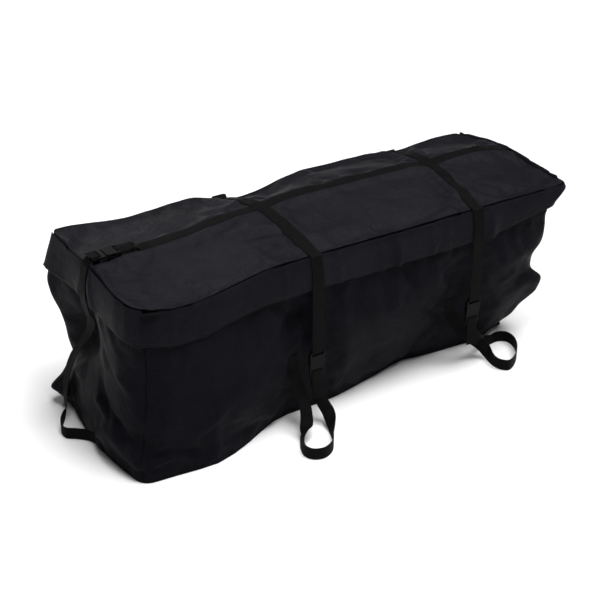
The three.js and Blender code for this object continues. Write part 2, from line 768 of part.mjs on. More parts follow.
// Tie strap points: [along the side from its buckle, outwards from the side, height,
// width direction in those axes].
const nearLoop = [
  [4, 10, 130, [1, 0, 0]], [16, 14, 80, [1, 0, 0]], [30, 32, 42, [0.9, 0.25, 0.35]],
  [14, 74, 24, [0.45, 0.2, 0.87]], [-12, 120, 20, [0, 0, 1]], [-38, 154, 20, [0, 0, 1]],
  [-76, 170, 20, [0, 0, 1]], [-108, 158, 20, [0, 0, 1]], [-117, 128, 20, [0.1, 0, 1]],
  [-100, 92, 27, [0.45, -0.2, 0.85]], [-62, 56, 50, [0.9, -0.2, 0.35]], [-46, 22, 88, [1, 0, 0]],
  [-52, -4, 140, [1, 0, 0]],
];
const farLoop = [
  [8, 9, 130, [1, 0, 0]], [40, 4, 92, [0.8, 0, 0.6]], [84, -24, 60, [0.5, 0, 0.86]],
  [122, -56, 30, [0.1, 0, 1]], [152, -60, 20, [0, 0, 1]], [190, -64, 20, [0, 0, 1]],
  [214, -48, 20, [0, 0, 1]], [214, -12, 20, [0, 0, 1]], [184, 38, 20, [0, 0, 1]],
  [136, 80, 20, [0, 0, 1]], [98, 94, 20, [0, 0, 1]], [78, 68, 20, [0, 0, 1]],
  [80, 30, 23, [0.2, 0, 1]], [84, -8, 38, [0.6, -0.1, 0.7]], [48, -20, 74, [0.85, -0.1, 0.5]],
  [4, -28, 112, [0.95, -0.1, 0.3]], [-14, -36, 140, [1, 0, 0]],
];
const leftEndLoop = [
  [-36, 8, 405, [1, 0, 0]], [-80, -22, 340, [0.9, 0, 0.4]], [-130, -26, 270, [0.9, 0, 0.4]],
  [-166, 10, 190, [1, 0, 0.2]], [-182, 32, 110, [1, 0, 0]], [-172, 44, 58, [0.8, 0, 0.5]],
  [-150, 54, 28, [0.3, 0, 0.95]], [-122, 78, 20, [0, 0, 1]], [-80, 100, 20, [0, 0, 1]],
  [-48, 98, 20, [0, 0, 1]], [-30, 76, 20, [0, 0, 1]], [-8, 54, 20, [0, 0, 1]],
];
const tuckedLoop = [
  [4, 6, 130, [1, 0, 0]], [16, -4, 80, [1, 0, 0]], [34, -16, 42, [0.9, 0.25, 0.35]],
  [60, -14, 24, [0.45, 0.2, 0.87]], [96, -6, 20, [0, 0, 1]], [124, -26, 20, [0, 0, 1]],
  [112, -50, 20, [0, 0, 1]], [76, -54, 22, [0.1, 0, 1]], [30, -52, 44, [0.6, 0, 0.8]],
  [-12, -40, 84, [0.8, 0, 0.5]], [-38, -30, 130, [1, 0, 0]],
];
const backWallEase = 9;
const backLoop = nearLoop.map(([a, out, z, across]) => [a, Math.max(out, backWallEase), z, across]);
const loopSteps = 2;
const anchorClearance = 1.6;

function sideDirection(side, [along, out, up]) {
  const { along: a, out: o } = sides[side];
  return new THREE.Vector3(a[0] * along + o[0] * out, a[1] * along + o[1] * out, up).normalize();
}

function loopPath(side, along, points) {
  const places = points.map(([a, out, z]) => sidePoint(side, along + a, sides[side].reach + out, z));
  const widths = points.map((point) => sideDirection(side, point[3]));
  const curve = new THREE.CatmullRomCurve3(places, false, 'centripetal');
  const path = [];
  for (let k = 0; k <= (points.length - 1) * loopSteps; k += 1) {
    const t = k / ((points.length - 1) * loopSteps);
    const from = Math.min(points.length - 2, Math.floor(k / loopSteps));
    const across = widths[from].clone().lerp(widths[from + 1], k / loopSteps - from);
    const tangent = curve.getTangent(t);
    across.addScaledVector(tangent, -across.dot(tangent));
    path.push(station(curve.getPoint(t), across));
  }
  return path;
}

// Sewn end of a tie strap: stations that lie on the wall, each from its centre and its width direction.
function anchorPath(side, along, places, across) {
  const inwards = sideDirection(side, [0, -1, 0]);
  const half = sideDirection(side, across).multiplyScalar(halfWebbing);
  const ontoWall = (point) => {
    const hit = rayHit(walls[side], point, inwards);
    return hit.addScaledVector(inwards, -anchorClearance - webbingThickness / 2);
  };
  return places.map(([a, z]) => {
    const centre = sidePoint(side, along + a, sides[side].reach + bagDepth, z);
    return { left: ontoWall(centre.clone().sub(half)), right: ontoWall(centre.clone().add(half)) };
  });
}

function anchorHeights(a) {
  return [180, 195, 210, 225, 240].map((z) => [a - (z - 180) / 6, z]);
}

const longTail = 70;
const shortTail = 10;
const tieStraps = [
  ['front_left', 'front', crossStrapLeftX, nearLoop, anchorHeights(-52), [1, 0, 0]],
  ['front_right', 'front', crossStrapRightX - crossStrapSlant, farLoop, anchorHeights(-32), [1, 0, 0]],
  ['back_left', 'back', -crossStrapLeftX, backLoop, anchorHeights(-52), [1, 0, 0]],
  ['back_right', 'back', -crossStrapRightX - crossStrapSlant, backLoop, anchorHeights(-52), [1, 0, 0]],
  ['right_end', 'right', lengthwiseStrapY, tuckedLoop, anchorHeights(-46), [1, 0, 0]],
];
bag.updateMatrixWorld(true);
for (const [name, side, along, loop, anchors, across] of tieStraps) {
  const path = [
    ...plugTurn(frames[name], longTail),
    ...loopPath(side, along, loop),
    ...anchorPath(side, along, anchors, across),
  ];
  addPart(`tie_strap_${name}`, bandGeometry(path), 'webbing');
}
const leftEndPath = [
  ...plugTurn(frames.left_end, shortTail),
  ...edgeBend('left', -lengthwiseStrapY).reverse(),
  ...loopPath('left', 0, leftEndLoop),
  ...anchorPath('left', 0, [[24, 22], [40, 22], [56, 22], [72, 22]], [0, 0, 1]),
];
addPart('tie_strap_left_end', bandGeometry(leftEndPath), 'webbing');

// Zip sliders and their pulls, side by side at the middle of the closed zip, under the flap.
const slider = {
  length: 12, legThickness: 2.4, plateThickness: 2,
  archWidth: 3, archHeight: 8, archDepth: 3.5, archBar: 1.6, archCap: 1.2,
};
const pull = { thickness: 1.4, width: 9, length: 24, rail: 2, eyeLength: 7, corner: 2, head: 1 };
const sliderGap = 1;
const sliderClearance = 0.4;
const sliderJoin = 0.5;

const sliderPlateFace = chainFace + sliderClearance;
const sliderFront = sliderPlateFace + slider.plateThickness;

// Plate in front of the chain with a leg above and below it, and the arch that holds the pull.
function sliderGeometry() {
  const half = slider.length / 2;
  const legFoot = zipChainWidth / 2 + sliderClearance;
  const legTop = legFoot + slider.legThickness;
  const legBack = tapeFace + sliderClearance;
  const joined = sliderFront - sliderJoin;
  const archFront = sliderFront + slider.archDepth;
  const archHalf = slider.archWidth / 2;
  const archReach = slider.archHeight / 2;
  const hole = archReach - slider.archBar;
  let solid = blockSolid([-half, -sliderFront, -legTop], [half, -sliderPlateFace, legTop]);
  solid = solid.add(blockSolid([-half, -joined, legFoot], [half, -legBack, legTop]));
  solid = solid.add(blockSolid([-half, -joined, -legTop], [half, -legBack, -legFoot]));
  solid = solid.add(blockSolid([-archHalf, -archFront, -archReach], [archHalf, -joined, archReach]));
  solid = solid.subtract(blockSolid([-half, slider.archCap - archFront, -hole], [half, -sliderFront, hole]));
  return toGeometry(solid);
}

const pullAxisOut = sliderFront + seamGap + pull.thickness / 2;

function pullGeometry() {
  const half = pull.width / 2;
  const eye = half - pull.rail;
  const foot = pull.head - pull.length;
  const shape = new THREE.Shape([
    [-half, pull.head], [-half, foot + pull.corner], [pull.corner - half, foot],
    [half - pull.corner, foot], [half, foot + pull.corner], [half, pull.head],
  ].map(([x, z]) => new THREE.Vector2(x, z)));
  const eyeTop = pull.head - pull.rail;
  const eyeFoot = eyeTop - pull.eyeLength;
  const hole = [[-eye, eyeTop], [eye, eyeTop], [eye, eyeFoot], [-eye, eyeFoot]];
  shape.holes.push(new THREE.Path(hole.map(([x, z]) => new THREE.Vector2(x, z))));
  return plateGeometry(shape, pull.thickness);
}

for (const [name, way] of [['left', -1], ['right', 1]]) {
  const x = way * (slider.length + sliderGap) / 2;
  const body = addPart(`zip_slider_${name}`, sliderGeometry(), 'slider');
  body.position.set(x, -halfDepth, zipHeight);
  const tab = addPart(`zip_pull_${name}`, pullGeometry(), 'slider');
  tab.position.set(x, -halfDepth - pullAxisOut, zipHeight);
}

export default bag;
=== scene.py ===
import bpy
import bmesh
import math
from mathutils import Matrix, Vector, noise
from mathutils.bvhtree import BVHTree


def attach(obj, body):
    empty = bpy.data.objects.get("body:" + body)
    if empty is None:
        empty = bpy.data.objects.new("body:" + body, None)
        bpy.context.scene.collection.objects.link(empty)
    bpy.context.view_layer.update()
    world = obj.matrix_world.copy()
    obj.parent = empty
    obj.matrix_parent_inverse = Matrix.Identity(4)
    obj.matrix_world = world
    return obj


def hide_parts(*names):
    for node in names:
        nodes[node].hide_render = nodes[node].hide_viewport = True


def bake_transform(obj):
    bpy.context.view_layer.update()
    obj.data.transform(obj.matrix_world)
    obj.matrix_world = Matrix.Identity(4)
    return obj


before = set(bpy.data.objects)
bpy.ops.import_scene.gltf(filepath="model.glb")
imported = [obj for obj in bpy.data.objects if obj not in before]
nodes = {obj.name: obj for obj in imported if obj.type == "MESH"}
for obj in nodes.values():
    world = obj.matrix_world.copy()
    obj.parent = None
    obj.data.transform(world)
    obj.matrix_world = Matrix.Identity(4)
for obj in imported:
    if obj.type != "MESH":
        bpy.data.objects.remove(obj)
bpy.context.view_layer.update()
scene = bpy.context.scene


# camera, light and floor
view = {
    "azimuth": -33.05, "elevation": 28.11, "distance": 3.6504,
    "target": (-0.0970, -0.0369, 0.275), "lens": 72.0,
}


def addCamera():
    data = bpy.data.cameras.new("camera")
    data.lens = view["lens"]
    data.sensor_width = 36.0
    data.clip_end = 60.0
    camera = bpy.data.objects.new("camera", data)
    az, el = math.radians(view["azimuth"]), math.radians(view["elevation"])
    back = Vector((math.sin(az) * math.cos(el), -math.cos(az) * math.cos(el), math.sin(el)))
    camera.location = Vector(view["target"]) + back * view["distance"]
    camera.rotation_euler = back.to_track_quat("Z", "Y").to_euler()
    scene.collection.objects.link(camera)
    scene.camera = camera


studio = {
    "floorColour": (0.90, 0.90, 0.90), "floorReach": 25, "floorDrop": 0.0004, "world": 0.11,
    "sun": 3.6, "sunSpread": 45, "sunTilt": (8, 14), "aim": (0, 0, 0.4),
    # place, size and power of each panel
    "keyPanel": ((-0.45, -0.8, 2.3), 0.7, 22.0),
    "fillPanel": ((-0.6, -3.2, 1.3), 1.4, 3.4),
    "rimPanel": ((-0.2, 2.6, 1.5), 0.8, 10.0),
}


def addFloor():
    bm = bmesh.new()
    bmesh.ops.create_grid(bm, x_segments=1, y_segments=1, size=studio["floorReach"])
    bmesh.ops.translate(bm, verts=bm.verts, vec=(0, 0, -studio["floorDrop"]))
    mesh = bpy.data.meshes.new("floor")
    bm.to_mesh(mesh)
    bm.free()
    floor = bpy.data.objects.new("floor", mesh)
    scene.collection.objects.link(floor)
    paint = bpy.data.materials.new("paleFloor")
    paint.use_nodes = True
    shader = paint.node_tree.nodes["Principled BSDF"]
    shader.inputs["Base Color"].default_value = (*studio["floorColour"], 1)
    shader.inputs["Roughness"].default_value = 0.9
    shader.inputs["Specular IOR Level"].default_value = 0.1
    mesh.materials.append(paint)


def addLights():
    world = bpy.data.worlds.new("studio")
    world.use_nodes = True
    background = world.node_tree.nodes["Background"]
    background.inputs["Color"].default_value = (1, 1, 1, 1)
    background.inputs["Strength"].default_value = studio["world"]
    scene.world = world
    sun = bpy.data.lights.new("softSun", "SUN")
    sun.energy = studio["sun"]
    sun.angle = math.radians(studio["sunSpread"])
    sunObject = bpy.data.objects.new("softSun", sun)
    tiltX, tiltY = studio["sunTilt"]
    sunObject.rotation_euler = (math.radians(tiltX), math.radians(tiltY), 0)
    scene.collection.objects.link(sunObject)
    for name in ("keyPanel", "fillPanel", "rimPanel"):
        place, size, energy = studio[name]
        lamp = bpy.data.lights.new(name, "AREA")
        lamp.energy = energy
        lamp.size = size
        lampObject = bpy.data.objects.new(name, lamp)
        lampObject.location = place
        back = Vector(place) - Vector(studio["aim"])
        lampObject.rotation_euler = back.to_track_quat("Z", "Y").to_euler()
        scene.collection.objects.link(lampObject)
    scene.view_settings.view_transform = "Standard"


addCamera()
addFloor()
addLights()
print("camera and studio ready")


# finishes
def addNode(tree, kind, place=(0, 0), **values):
    node = tree.nodes.new(kind)
    node.location = place
    for key, value in values.items():
        setattr(node, key, value)
    return node


def weaveGroup():
    # over-and-under threads from two crossed waves, with a slower slub over them
    group = bpy.data.node_groups.new("wovenThreads", "ShaderNodeTree")
    face = group.interface
    face.new_socket("Vector", in_out="INPUT", socket_type="NodeSocketVector")
    face.new_socket("Threads", in_out="INPUT", socket_type="NodeSocketFloat").default_value = 900.0
    face.new_socket("Height", in_out="OUTPUT", socket_type="NodeSocketFloat")
    start = addNode(group, "NodeGroupInput", (-900, 0))
    end = addNode(group, "NodeGroupOutput", (500, 0))
    split = addNode(group, "ShaderNodeSeparateXYZ", (-700, 100))
    group.links.new(start.outputs["Vector"], split.inputs[0])
    waves = []
    for k in range(2):
        turns = addNode(group, "ShaderNodeMath", (-500, 100 - 200 * k), operation="MULTIPLY")
        group.links.new(split.outputs[k], turns.inputs[0])
        group.links.new(start.outputs["Threads"], turns.inputs[1])
        wave = addNode(group, "ShaderNodeMath", (-320, 100 - 200 * k), operation="SINE")
        group.links.new(turns.outputs[0], wave.inputs[0])
        waves.append(wave)
    product = addNode(group, "ShaderNodeMath", (-120, 0), operation="MULTIPLY")
    group.links.new(waves[0].outputs[0], product.inputs[0])
    group.links.new(waves[1].outputs[0], product.inputs[1])
    slub = addNode(group, "ShaderNodeTexNoise", (-320, -350))
    slub.inputs["Scale"].default_value = 140.0
    slub.inputs["Detail"].default_value = 2.0
    group.links.new(start.outputs["Vector"], slub.inputs["Vector"])
    total = addNode(group, "ShaderNodeMath", (100, 0), operation="MULTIPLY_ADD")
    total.inputs[1].default_value = 0.5
    group.links.new(product.outputs[0], total.inputs[0])
    group.links.new(slub.outputs["Fac"], total.inputs[2])
    group.links.new(total.outputs[0], end.inputs["Height"])
    return group


def wearGroup():
    # slow and fine patches, for colour and gloss that are never quite even
    group = bpy.data.node_groups.new("unevenWear", "ShaderNodeTree")
    face = group.interface
    face.new_socket("Vector", in_out="INPUT", socket_type="NodeSocketVector")
    face.new_socket("Patch Scale", in_out="INPUT", socket_type="NodeSocketFloat").default_value = 5.0
    face.new_socket("Mask", in_out="OUTPUT", socket_type="NodeSocketFloat")
    start = addNode(group, "NodeGroupInput", (-600, 0))
    end = addNode(group, "NodeGroupOutput", (500, 0))
    slow = addNode(group, "ShaderNodeTexNoise", (-350, 100))
    slow.inputs["Detail"].default_value = 4.0
    slow.inputs["Roughness"].default_value = 0.6
    group.links.new(start.outputs["Vector"], slow.inputs["Vector"])
    group.links.new(start.outputs["Patch Scale"], slow.inputs["Scale"])
    fine = addNode(group, "ShaderNodeTexNoise", (-350, -150))
    fine.inputs["Scale"].default_value = 90.0
    fine.inputs["Detail"].default_value = 3.0
    group.links.new(start.outputs["Vector"], fine.inputs["Vector"])
    blend = addNode(group, "ShaderNodeMath", (-100, 0), operation="MULTIPLY_ADD")
    blend.inputs[1].default_value = 0.35
    group.links.new(fine.outputs["Fac"], blend.inputs[0])
    group.links.new(slow.outputs["Fac"], blend.inputs[2])
    spread = addNode(group, "ShaderNodeMapRange", (150, 0))
    spread.inputs["From Min"].default_value = 0.45
    spread.inputs["From Max"].default_value = 0.95
    group.links.new(blend.outputs[0], spread.inputs["Value"])
    group.links.new(spread.outputs["Result"], end.inputs["Mask"])
    return group


threadPattern = weaveGroup()
wearPattern = wearGroup()


def madeOf(name, look):
    # one finish: colour and gloss vary with the wear mask, threads or grain give the bump
    paint = bpy.data.materials.new(name)
    paint.use_nodes = True
    tree = paint.node_tree
    shader = tree.nodes["Principled BSDF"]
    source = addNode(tree, "ShaderNodeTexCoord", (-1100, 0))
    coords = source.outputs["UV" if look.get("byUv") else "Object"]
    wear = addNode(tree, "ShaderNodeGroup", (-850, 200), node_tree=wearPattern)
    wear.inputs["Patch Scale"].default_value = look["patches"]
    tree.links.new(source.outputs["Object"], wear.inputs["Vector"])
    tones = addNode(tree, "ShaderNodeMix", (-450, 300), data_type="RGBA")
    tones.inputs["A"].default_value = (*look["dark"], 1)
    tones.inputs["B"].default_value = (*look["light"], 1)
    tree.links.new(wear.outputs["Mask"], tones.inputs["Factor"])
    tree.links.new(tones.outputs["Result"], shader.inputs["Base Color"])
    gloss = addNode(tree, "ShaderNodeMapRange", (-450, 60))
    gloss.inputs["To Min"].default_value = look["roughness"][0]
    gloss.inputs["To Max"].default_value = look["roughness"][1]
    tree.links.new(wear.outputs["Mask"], gloss.inputs["Value"])
    tree.links.new(gloss.outputs["Result"], shader.inputs["Roughness"])
    shader.inputs["Specular IOR Level"].default_value = look["specular"]
    bump = addNode(tree, "ShaderNodeBump", (-250, -200))
    bump.inputs["Distance"].default_value = look["bump"]
    bump.inputs["Strength"].default_value = look.get("bumpStrength", 0.6)
    if look.get("threads"):
        weave = addNode(tree, "ShaderNodeGroup", (-600, -200), node_tree=threadPattern)
        weave.inputs["Threads"].default_value = look["threads"]
        tree.links.new(coords, weave.inputs["Vector"])
        tree.links.new(weave.outputs["Height"], bump.inputs["Height"])
    else:
        grain = addNode(tree, "ShaderNodeTexNoise", (-600, -200))
        grain.inputs["Scale"].default_value = look["grain"]
        grain.inputs["Detail"].default_value = 3.0
        tree.links.new(coords, grain.inputs["Vector"])
        tree.links.new(grain.outputs["Fac"], bump.inputs["Height"])
    if look.get("crumple"):
        crease = addNode(tree, "ShaderNodeTexNoise", (-600, -480))
        crease.inputs["Scale"].default_value = 22.0
        crease.inputs["Detail"].default_value = 5.0
        crease.inputs["Roughness"].default_value = 0.62
        crease.inputs["Distortion"].default_value = 0.8
        tree.links.new(source.outputs["Object"], crease.inputs["Vector"])
        creaseBump = addNode(tree, "ShaderNodeBump", (-250, -450))
        creaseBump.inputs["Distance"].default_value = look["crumple"]
        creaseBump.inputs["Strength"].default_value = 0.7
        tree.links.new(crease.outputs["Fac"], creaseBump.inputs["Height"])
        tree.links.new(creaseBump.outputs["Normal"], bump.inputs["Normal"])
    tree.links.new(bump.outputs["Normal"], shader.inputs["Normal"])
    return paint


coatedLook = {
    "roughness": (0.42, 0.56), "threads": 4200.0, "byUv": True, "bump": 0.0004,
    "crumple": 0.008, "patches": 4.0,
}
# lit and shaded copies of one coated cloth: the lid and the flap are painted lighter as painted light, the
# walls darker as painted shade
lidPaintedLightFinish = madeOf("coatedClothLidPaintedLight", coatedLook | {
    "dark": (0.0046, 0.0043, 0.0062), "light": (0.0104, 0.0096, 0.0132), "roughness": (0.40, 0.54),
    "specular": 0.06, "crumple": 0.010,
})
flapPaintedLightFinish = madeOf("coatedClothFlapPaintedLight", coatedLook | {
    "dark": (0.0046, 0.0042, 0.0061), "light": (0.0100, 0.0092, 0.0128), "specular": 0.03,
})
wallPaintedShadeFinish = madeOf("coatedClothWallsPaintedShade", coatedLook | {
    "dark": (0.0034, 0.0031, 0.0047), "light": (0.0074, 0.0068, 0.0098), "specular": 0.02,
})
# seam beads: the ridge is real, their darker colour is painted shade of the groove along the seam
seamPaintedShadeFinish = madeOf("boundSeamPaintedShade", {
    "dark": (0.0020, 0.0019, 0.0026), "light": (0.0042, 0.0040, 0.0052), "roughness": (0.6, 0.8),
    "specular": 0.02, "threads": 5200.0, "bump": 0.0002, "patches": 30.0,
})
threadFinish = madeOf("sewingThread", {
    "dark": (0.0070, 0.0070, 0.0080), "light": (0.0150, 0.0150, 0.0165), "roughness": (0.45, 0.6),
    "specular": 0.1, "grain": 900.0, "bump": 0.0001, "patches": 50.0,
})
baseFinish = madeOf("baseClothFinish", {
    "dark": (0.0080, 0.0080, 0.0100), "light": (0.0125, 0.0120, 0.0150), "roughness": (0.6, 0.75),
    "specular": 0.02, "threads": 3000.0, "bump": 0.0004, "patches": 4.0,
})
webbingFinish = madeOf("webbingFinish", {
    "dark": (0.0026, 0.0026, 0.0026), "light": (0.0058, 0.0058, 0.0056), "roughness": (0.55, 0.75),
    "specular": 0.03, "threads": 2400.0, "byUv": True, "bump": 0.0006, "bumpStrength": 0.9, "patches": 30.0,
})
buckleFinish = madeOf("bucklePlastic", {
    "dark": (0.0024, 0.0024, 0.0026), "light": (0.0046, 0.0046, 0.0048), "roughness": (0.32, 0.46),
    "specular": 0.05, "grain": 700.0, "bump": 0.0001, "bumpStrength": 0.4, "patches": 40.0,
})
zipTapeFinish = madeOf("zipTapeFinish", {
    "dark": (0.0028, 0.0028, 0.0032), "light": (0.0058, 0.0058, 0.0064), "roughness": (0.7, 0.85),
    "specular": 0.03, "threads": 5000.0, "bump": 0.0003, "patches": 20.0,
})
zipMetalFinish = madeOf("zipMetalFinish", {
    "dark": (0.016, 0.016, 0.018), "light": (0.05, 0.05, 0.052), "roughness": (0.3, 0.5),
    "specular": 0.5, "grain": 500.0, "bump": 0.0001, "patches": 60.0,
})
print("finishes ready")


# helpers
def mergedCopy(node):
    # a copy of a frame node's mesh, whose loose triangles are joined first
    bm = bmesh.new()
    bm.from_mesh(nodes[node].data)
    bmesh.ops.remove_doubles(bm, verts=bm.verts, dist=0.00002)
    return bm


def surfaceOf(*pieces):
    # one searchable surface of several pieces
    bm = bmesh.new()
    for piece in pieces:
        bm.from_mesh(piece.data)
    surface = BVHTree.FromBMesh(bm)
    bm.free()
    return surface


def frameSurface(*names):
    return surfaceOf(*(nodes[name] for name in names))


def addPiece(name, bm, finish, smooth=True):
    mesh = bpy.data.meshes.new(name)
    bm.to_mesh(mesh)
    bm.free()
    mesh.materials.append(finish)
    for face in mesh.polygons:
        face.use_smooth = smooth
    piece = bpy.data.objects.new(name, mesh)
    scene.collection.objects.link(piece)
    return piece


def applyAll(piece):
    bpy.context.view_layer.objects.active = piece
    piece.select_set(True)
    for modifier in list(piece.modifiers):
        bpy.ops.object.modifier_apply(modifier=modifier.name)
    piece.select_set(False)


def between(value, low, high):
    return max(low, min(high, value))


def ease(share):
    # 0 to 1 with a soft start and end
    t = between(share, 0.0, 1.0)
    return t * t * (3 - 2 * t)


def thicken(piece, thickness, offset=-1):
    thick = piece.modifiers.new("thickness", "SOLIDIFY")
    thick.thickness = thickness
    thick.offset = offset


def refine(piece):
    fine = piece.modifiers.new("fine", "SUBSURF")
    fine.levels = fine.render_levels = 1


def roundEdges(piece, width, segments, fromAngle):
    edge = piece.modifiers.new("edge", "BEVEL")
    edge.width = width
    edge.segments = segments
    edge.limit_method = "ANGLE"
    edge.angle_limit = math.radians(fromAngle)


# the bag's cloth shell, in metres
bag = {
    "halfLength": 0.75, "halfDepth": 0.27, "corner": 0.03, "lidHeight": 0.55,
    "cellsAlong": 112, "cellsAcross": 40, "wallRows": 36, "gussetRows": 4,
    "wallTop": 0.4765, "gussetFoot": 0.4835, "thickness": 0.0016, "edgeKept": 0.004,
    # simulation: steps, spare length, pressure, the furthest that a point may move
    "steps": 22, "slack": -0.035, "pressure": 0.6, "cap": 0.014,
    # how strongly the folds below and the loose creases show
    "foldGain": 1.5, "endFolds": 1.6, "endFrom": -0.70, "lidCrease": 1.7,
    "bigCrease": 0.0050, "bigCreaseSize": 0.19, "smallCrease": 0.0022, "smallCreaseSize": 0.075,
}
wallRows = bag["wallRows"]
topRow = wallRows + 1 + bag["gussetRows"]
# where the straps cross the lid and hang on the walls, and how wide the cloth stays flat behind them
straps = {
    "left": -0.2, "right": 0.42, "rightSlant": 0.04, "lengthwise": 0.02,
    "lidFlat": 0.016, "lidFade": 0.014, "wallFlat": 0.035, "wallFade": 0.035,
}
# folds of the lid and the walls: from, to, half width, push outwards
folds = [
    ((-0.415, -0.112, 0.564), (-0.236, -0.164, 0.572), 0.016, 0.005),
    ((-0.360, -0.049, 0.577), (-0.212, -0.105, 0.580), 0.014, 0.004),
    ((-0.366, -0.105, 0.573), (-0.207, -0.144, 0.575), 0.012, -0.004),
    ((-0.208, -0.125, 0.578), (-0.221, -0.222, 0.560), 0.009, -0.009),
    ((-0.626, -0.187, 0.521), (-0.498, -0.223, 0.529), 0.020, 0.006),
    ((-0.540, -0.155, 0.533), (-0.411, -0.223, 0.548), 0.018, -0.004),
    ((-0.171, -0.197, 0.568), (-0.026, -0.190, 0.575), 0.020, 0.006),
    ((-0.166, -0.260, 0.552), (0.023, -0.215, 0.567), 0.007, -0.005),
    ((0.023, -0.215, 0.567), (0.147, -0.223, 0.564), 0.007, -0.005),
    ((0.147, -0.223, 0.564), (0.342, -0.237, 0.558), 0.007, -0.004),
    ((0.367, -0.075, 0.590), (0.374, -0.208, 0.566), 0.012, 0.005),
    ((0.324, -0.143, 0.584), (0.373, -0.228, 0.560), 0.010, -0.004),
    ((0.419, -0.099, 0.583), (0.425, -0.170, 0.573), 0.008, -0.009),
    ((0.561, -0.180, 0.573), (0.527, -0.233, 0.559), 0.008, -0.004),
    ((0.599, -0.212, 0.562), (0.571, -0.254, 0.553), 0.007, -0.003),
    ((0.686, -0.191, 0.559), (0.648, -0.255, 0.552), 0.008, -0.003),
    ((-0.697, -0.003, 0.552), (-0.552, 0.031, 0.561), 0.012, 0.006),
    ((-0.642, 0.036, 0.557), (-0.503, 0.065, 0.563), 0.010, -0.004),
    ((0.118, -0.270, 0.436), (0.175, -0.259, 0.295), 0.012, -0.010),
    ((0.175, -0.259, 0.295), (0.371, -0.196, 0.119), 0.016, -0.007),
    ((0.205, -0.269, 0.412), (0.348, -0.223, 0.229), 0.024, 0.008),
    ((-0.228, -0.254, 0.401), (-0.212, -0.251, 0.258), 0.012, -0.012),
    ((-0.485, -0.284, 0.198), (-0.591, -0.286, 0.118), 0.014, 0.006),
    ((-0.354, -0.267, 0.265), (-0.402, -0.268, 0.173), 0.012, 0.004),
    ((-0.440, -0.281, 0.259), (-0.539, -0.285, 0.211), 0.014, -0.004),
    ((-0.747, -0.273, 0.058), (-0.669, -0.282, 0.066), 0.009, 0.005),
    ((-0.669, -0.282, 0.066), (-0.559, -0.295, 0.011), 0.009, 0.005),
    ((-0.736, -0.274, 0.101), (-0.576, -0.290, 0.062), 0.012, -0.004),
    ((0.274, -0.146, 0.026), (0.347, -0.178, 0.078), 0.008, 0.004),
    ((0.089, -0.263, 0.292), (0.155, -0.222, 0.191), 0.010, 0.003),
    ((-0.040, -0.267, 0.361), (0.064, -0.196, 0.090), 0.026, -0.004),
    ((-0.110, -0.267, 0.382), (-0.051, -0.216, 0.102), 0.024, 0.005),
    ((0.511, -0.241, 0.254), (0.589, -0.240, 0.285), 0.008, 0.006),
    ((0.585, -0.232, 0.236), (0.652, -0.226, 0.259), 0.008, -0.008),
    ((0.542, -0.229, 0.211), (0.619, -0.228, 0.225), 0.009, -0.004),
    ((0.455, -0.269, 0.443), (0.505, -0.258, 0.333), 0.014, -0.005),
    ((0.524, -0.269, 0.443), (0.591, -0.254, 0.333), 0.014, 0.005),
    ((-0.772, -0.118, 0.173), (-0.770, -0.192, 0.151), 0.008, -0.005),
    ((-0.781, -0.170, 0.103), (-0.746, -0.260, 0.161), 0.008, -0.005),
    ((-0.778, -0.022, 0.163), (-0.779, -0.132, 0.140), 0.012, 0.005),
    ((-0.750, -0.150, 0.301), (-0.741, -0.236, 0.265), 0.014, 0.004),
]


def outwards(co):
    # the level way out from the middle of the bag
    return Vector((co.x / bag["halfLength"] ** 2, co.y / bag["halfDepth"] ** 2, 0)).normalized()


def turnOf(co):
    # order of points round the plan
    return math.atan2(co.y / bag["halfDepth"], co.x / bag["halfLength"])


def planPoint(u, v):
    # a point of the unit square on the rounded plan, and the way out from it
    halfX, halfY, r = bag["halfLength"], bag["halfDepth"], bag["corner"]
    x, y = 2 * u * halfX, 2 * v * halfY
    innerX = between(x, r - halfX, halfX - r)
    innerY = between(y, r - halfY, halfY - r)
    away = Vector((x - innerX, y - innerY, 0))
    if away.x and away.y:
        away *= max(abs(away.x), abs(away.y)) / away.length
        out = away.normalized()
    elif abs(u) > abs(v) * 0.999 and abs(u) > 0.499:
        out = Vector((math.copysign(1, u), 0, 0))
    else:
        out = Vector((0, math.copysign(1, v), 0))
    return Vector((innerX, innerY, 0)) + away, out


# rays that find the frame's walls: where they start, how far apart and how low they look
search = {
    "reach": 1.1, "apart": 0.01, "endRays": 34, "longRays": 86, "lower": 0.01, "looks": 8, "nearCorner": 0.06,
}
wallNodes = ("front_panel", "back_panel", "left_end_panel", "right_end_panel", "lid_gusset")


def sideHits(surface, z, axis, sign, rays):
    # outermost points of one side at one height; where the wall is lower, its top counts
    hits = []
    way = Vector((0, 0, 0))
    way[axis] = -sign
    for k in range(-rays, rays + 1):
        for look in range(search["looks"]):
            start = Vector((0, 0, z - look * search["lower"]))
            start[axis], start[1 - axis] = sign * search["reach"], k * search["apart"]
            hit = surface.ray_cast(start, way, search["reach"])[0]
            if hit:
                hits.append(hit)
                break
    return hits


def rowCorners(surface, z):
    # where the four corners really stand at one height, front left first and on anticlockwise
    ends = {sign: sideHits(surface, z, 0, sign, search["endRays"]) for sign in (-1, 1)}
    longs = {sign: sideHits(surface, z, 1, sign, search["longRays"]) for sign in (-1, 1)}
    near = search["nearCorner"]
    corners = []
    for signX, signY in ((-1, -1), (1, -1), (1, 1), (-1, 1)):
        edge = max(signY * p.y for p in ends[signX])
        x = max(signX * p.x for p in ends[signX] if signY * p.y > edge - near)
        reached = min(x, max(signX * p.x for p in longs[signY]))
        y = max(signY * p.y for p in longs[signY] if signX * p.x > reached - near)
        corners.append(Vector((signX * x, signY * y, 0)))
    return corners


def cornersAt(surface, z, known):
    # the corners of a row, worked out once for each millimetre of height
    row = round(z, 3)
    if row not in known:
        known[row] = rowCorners(surface, row)
    return known[row]


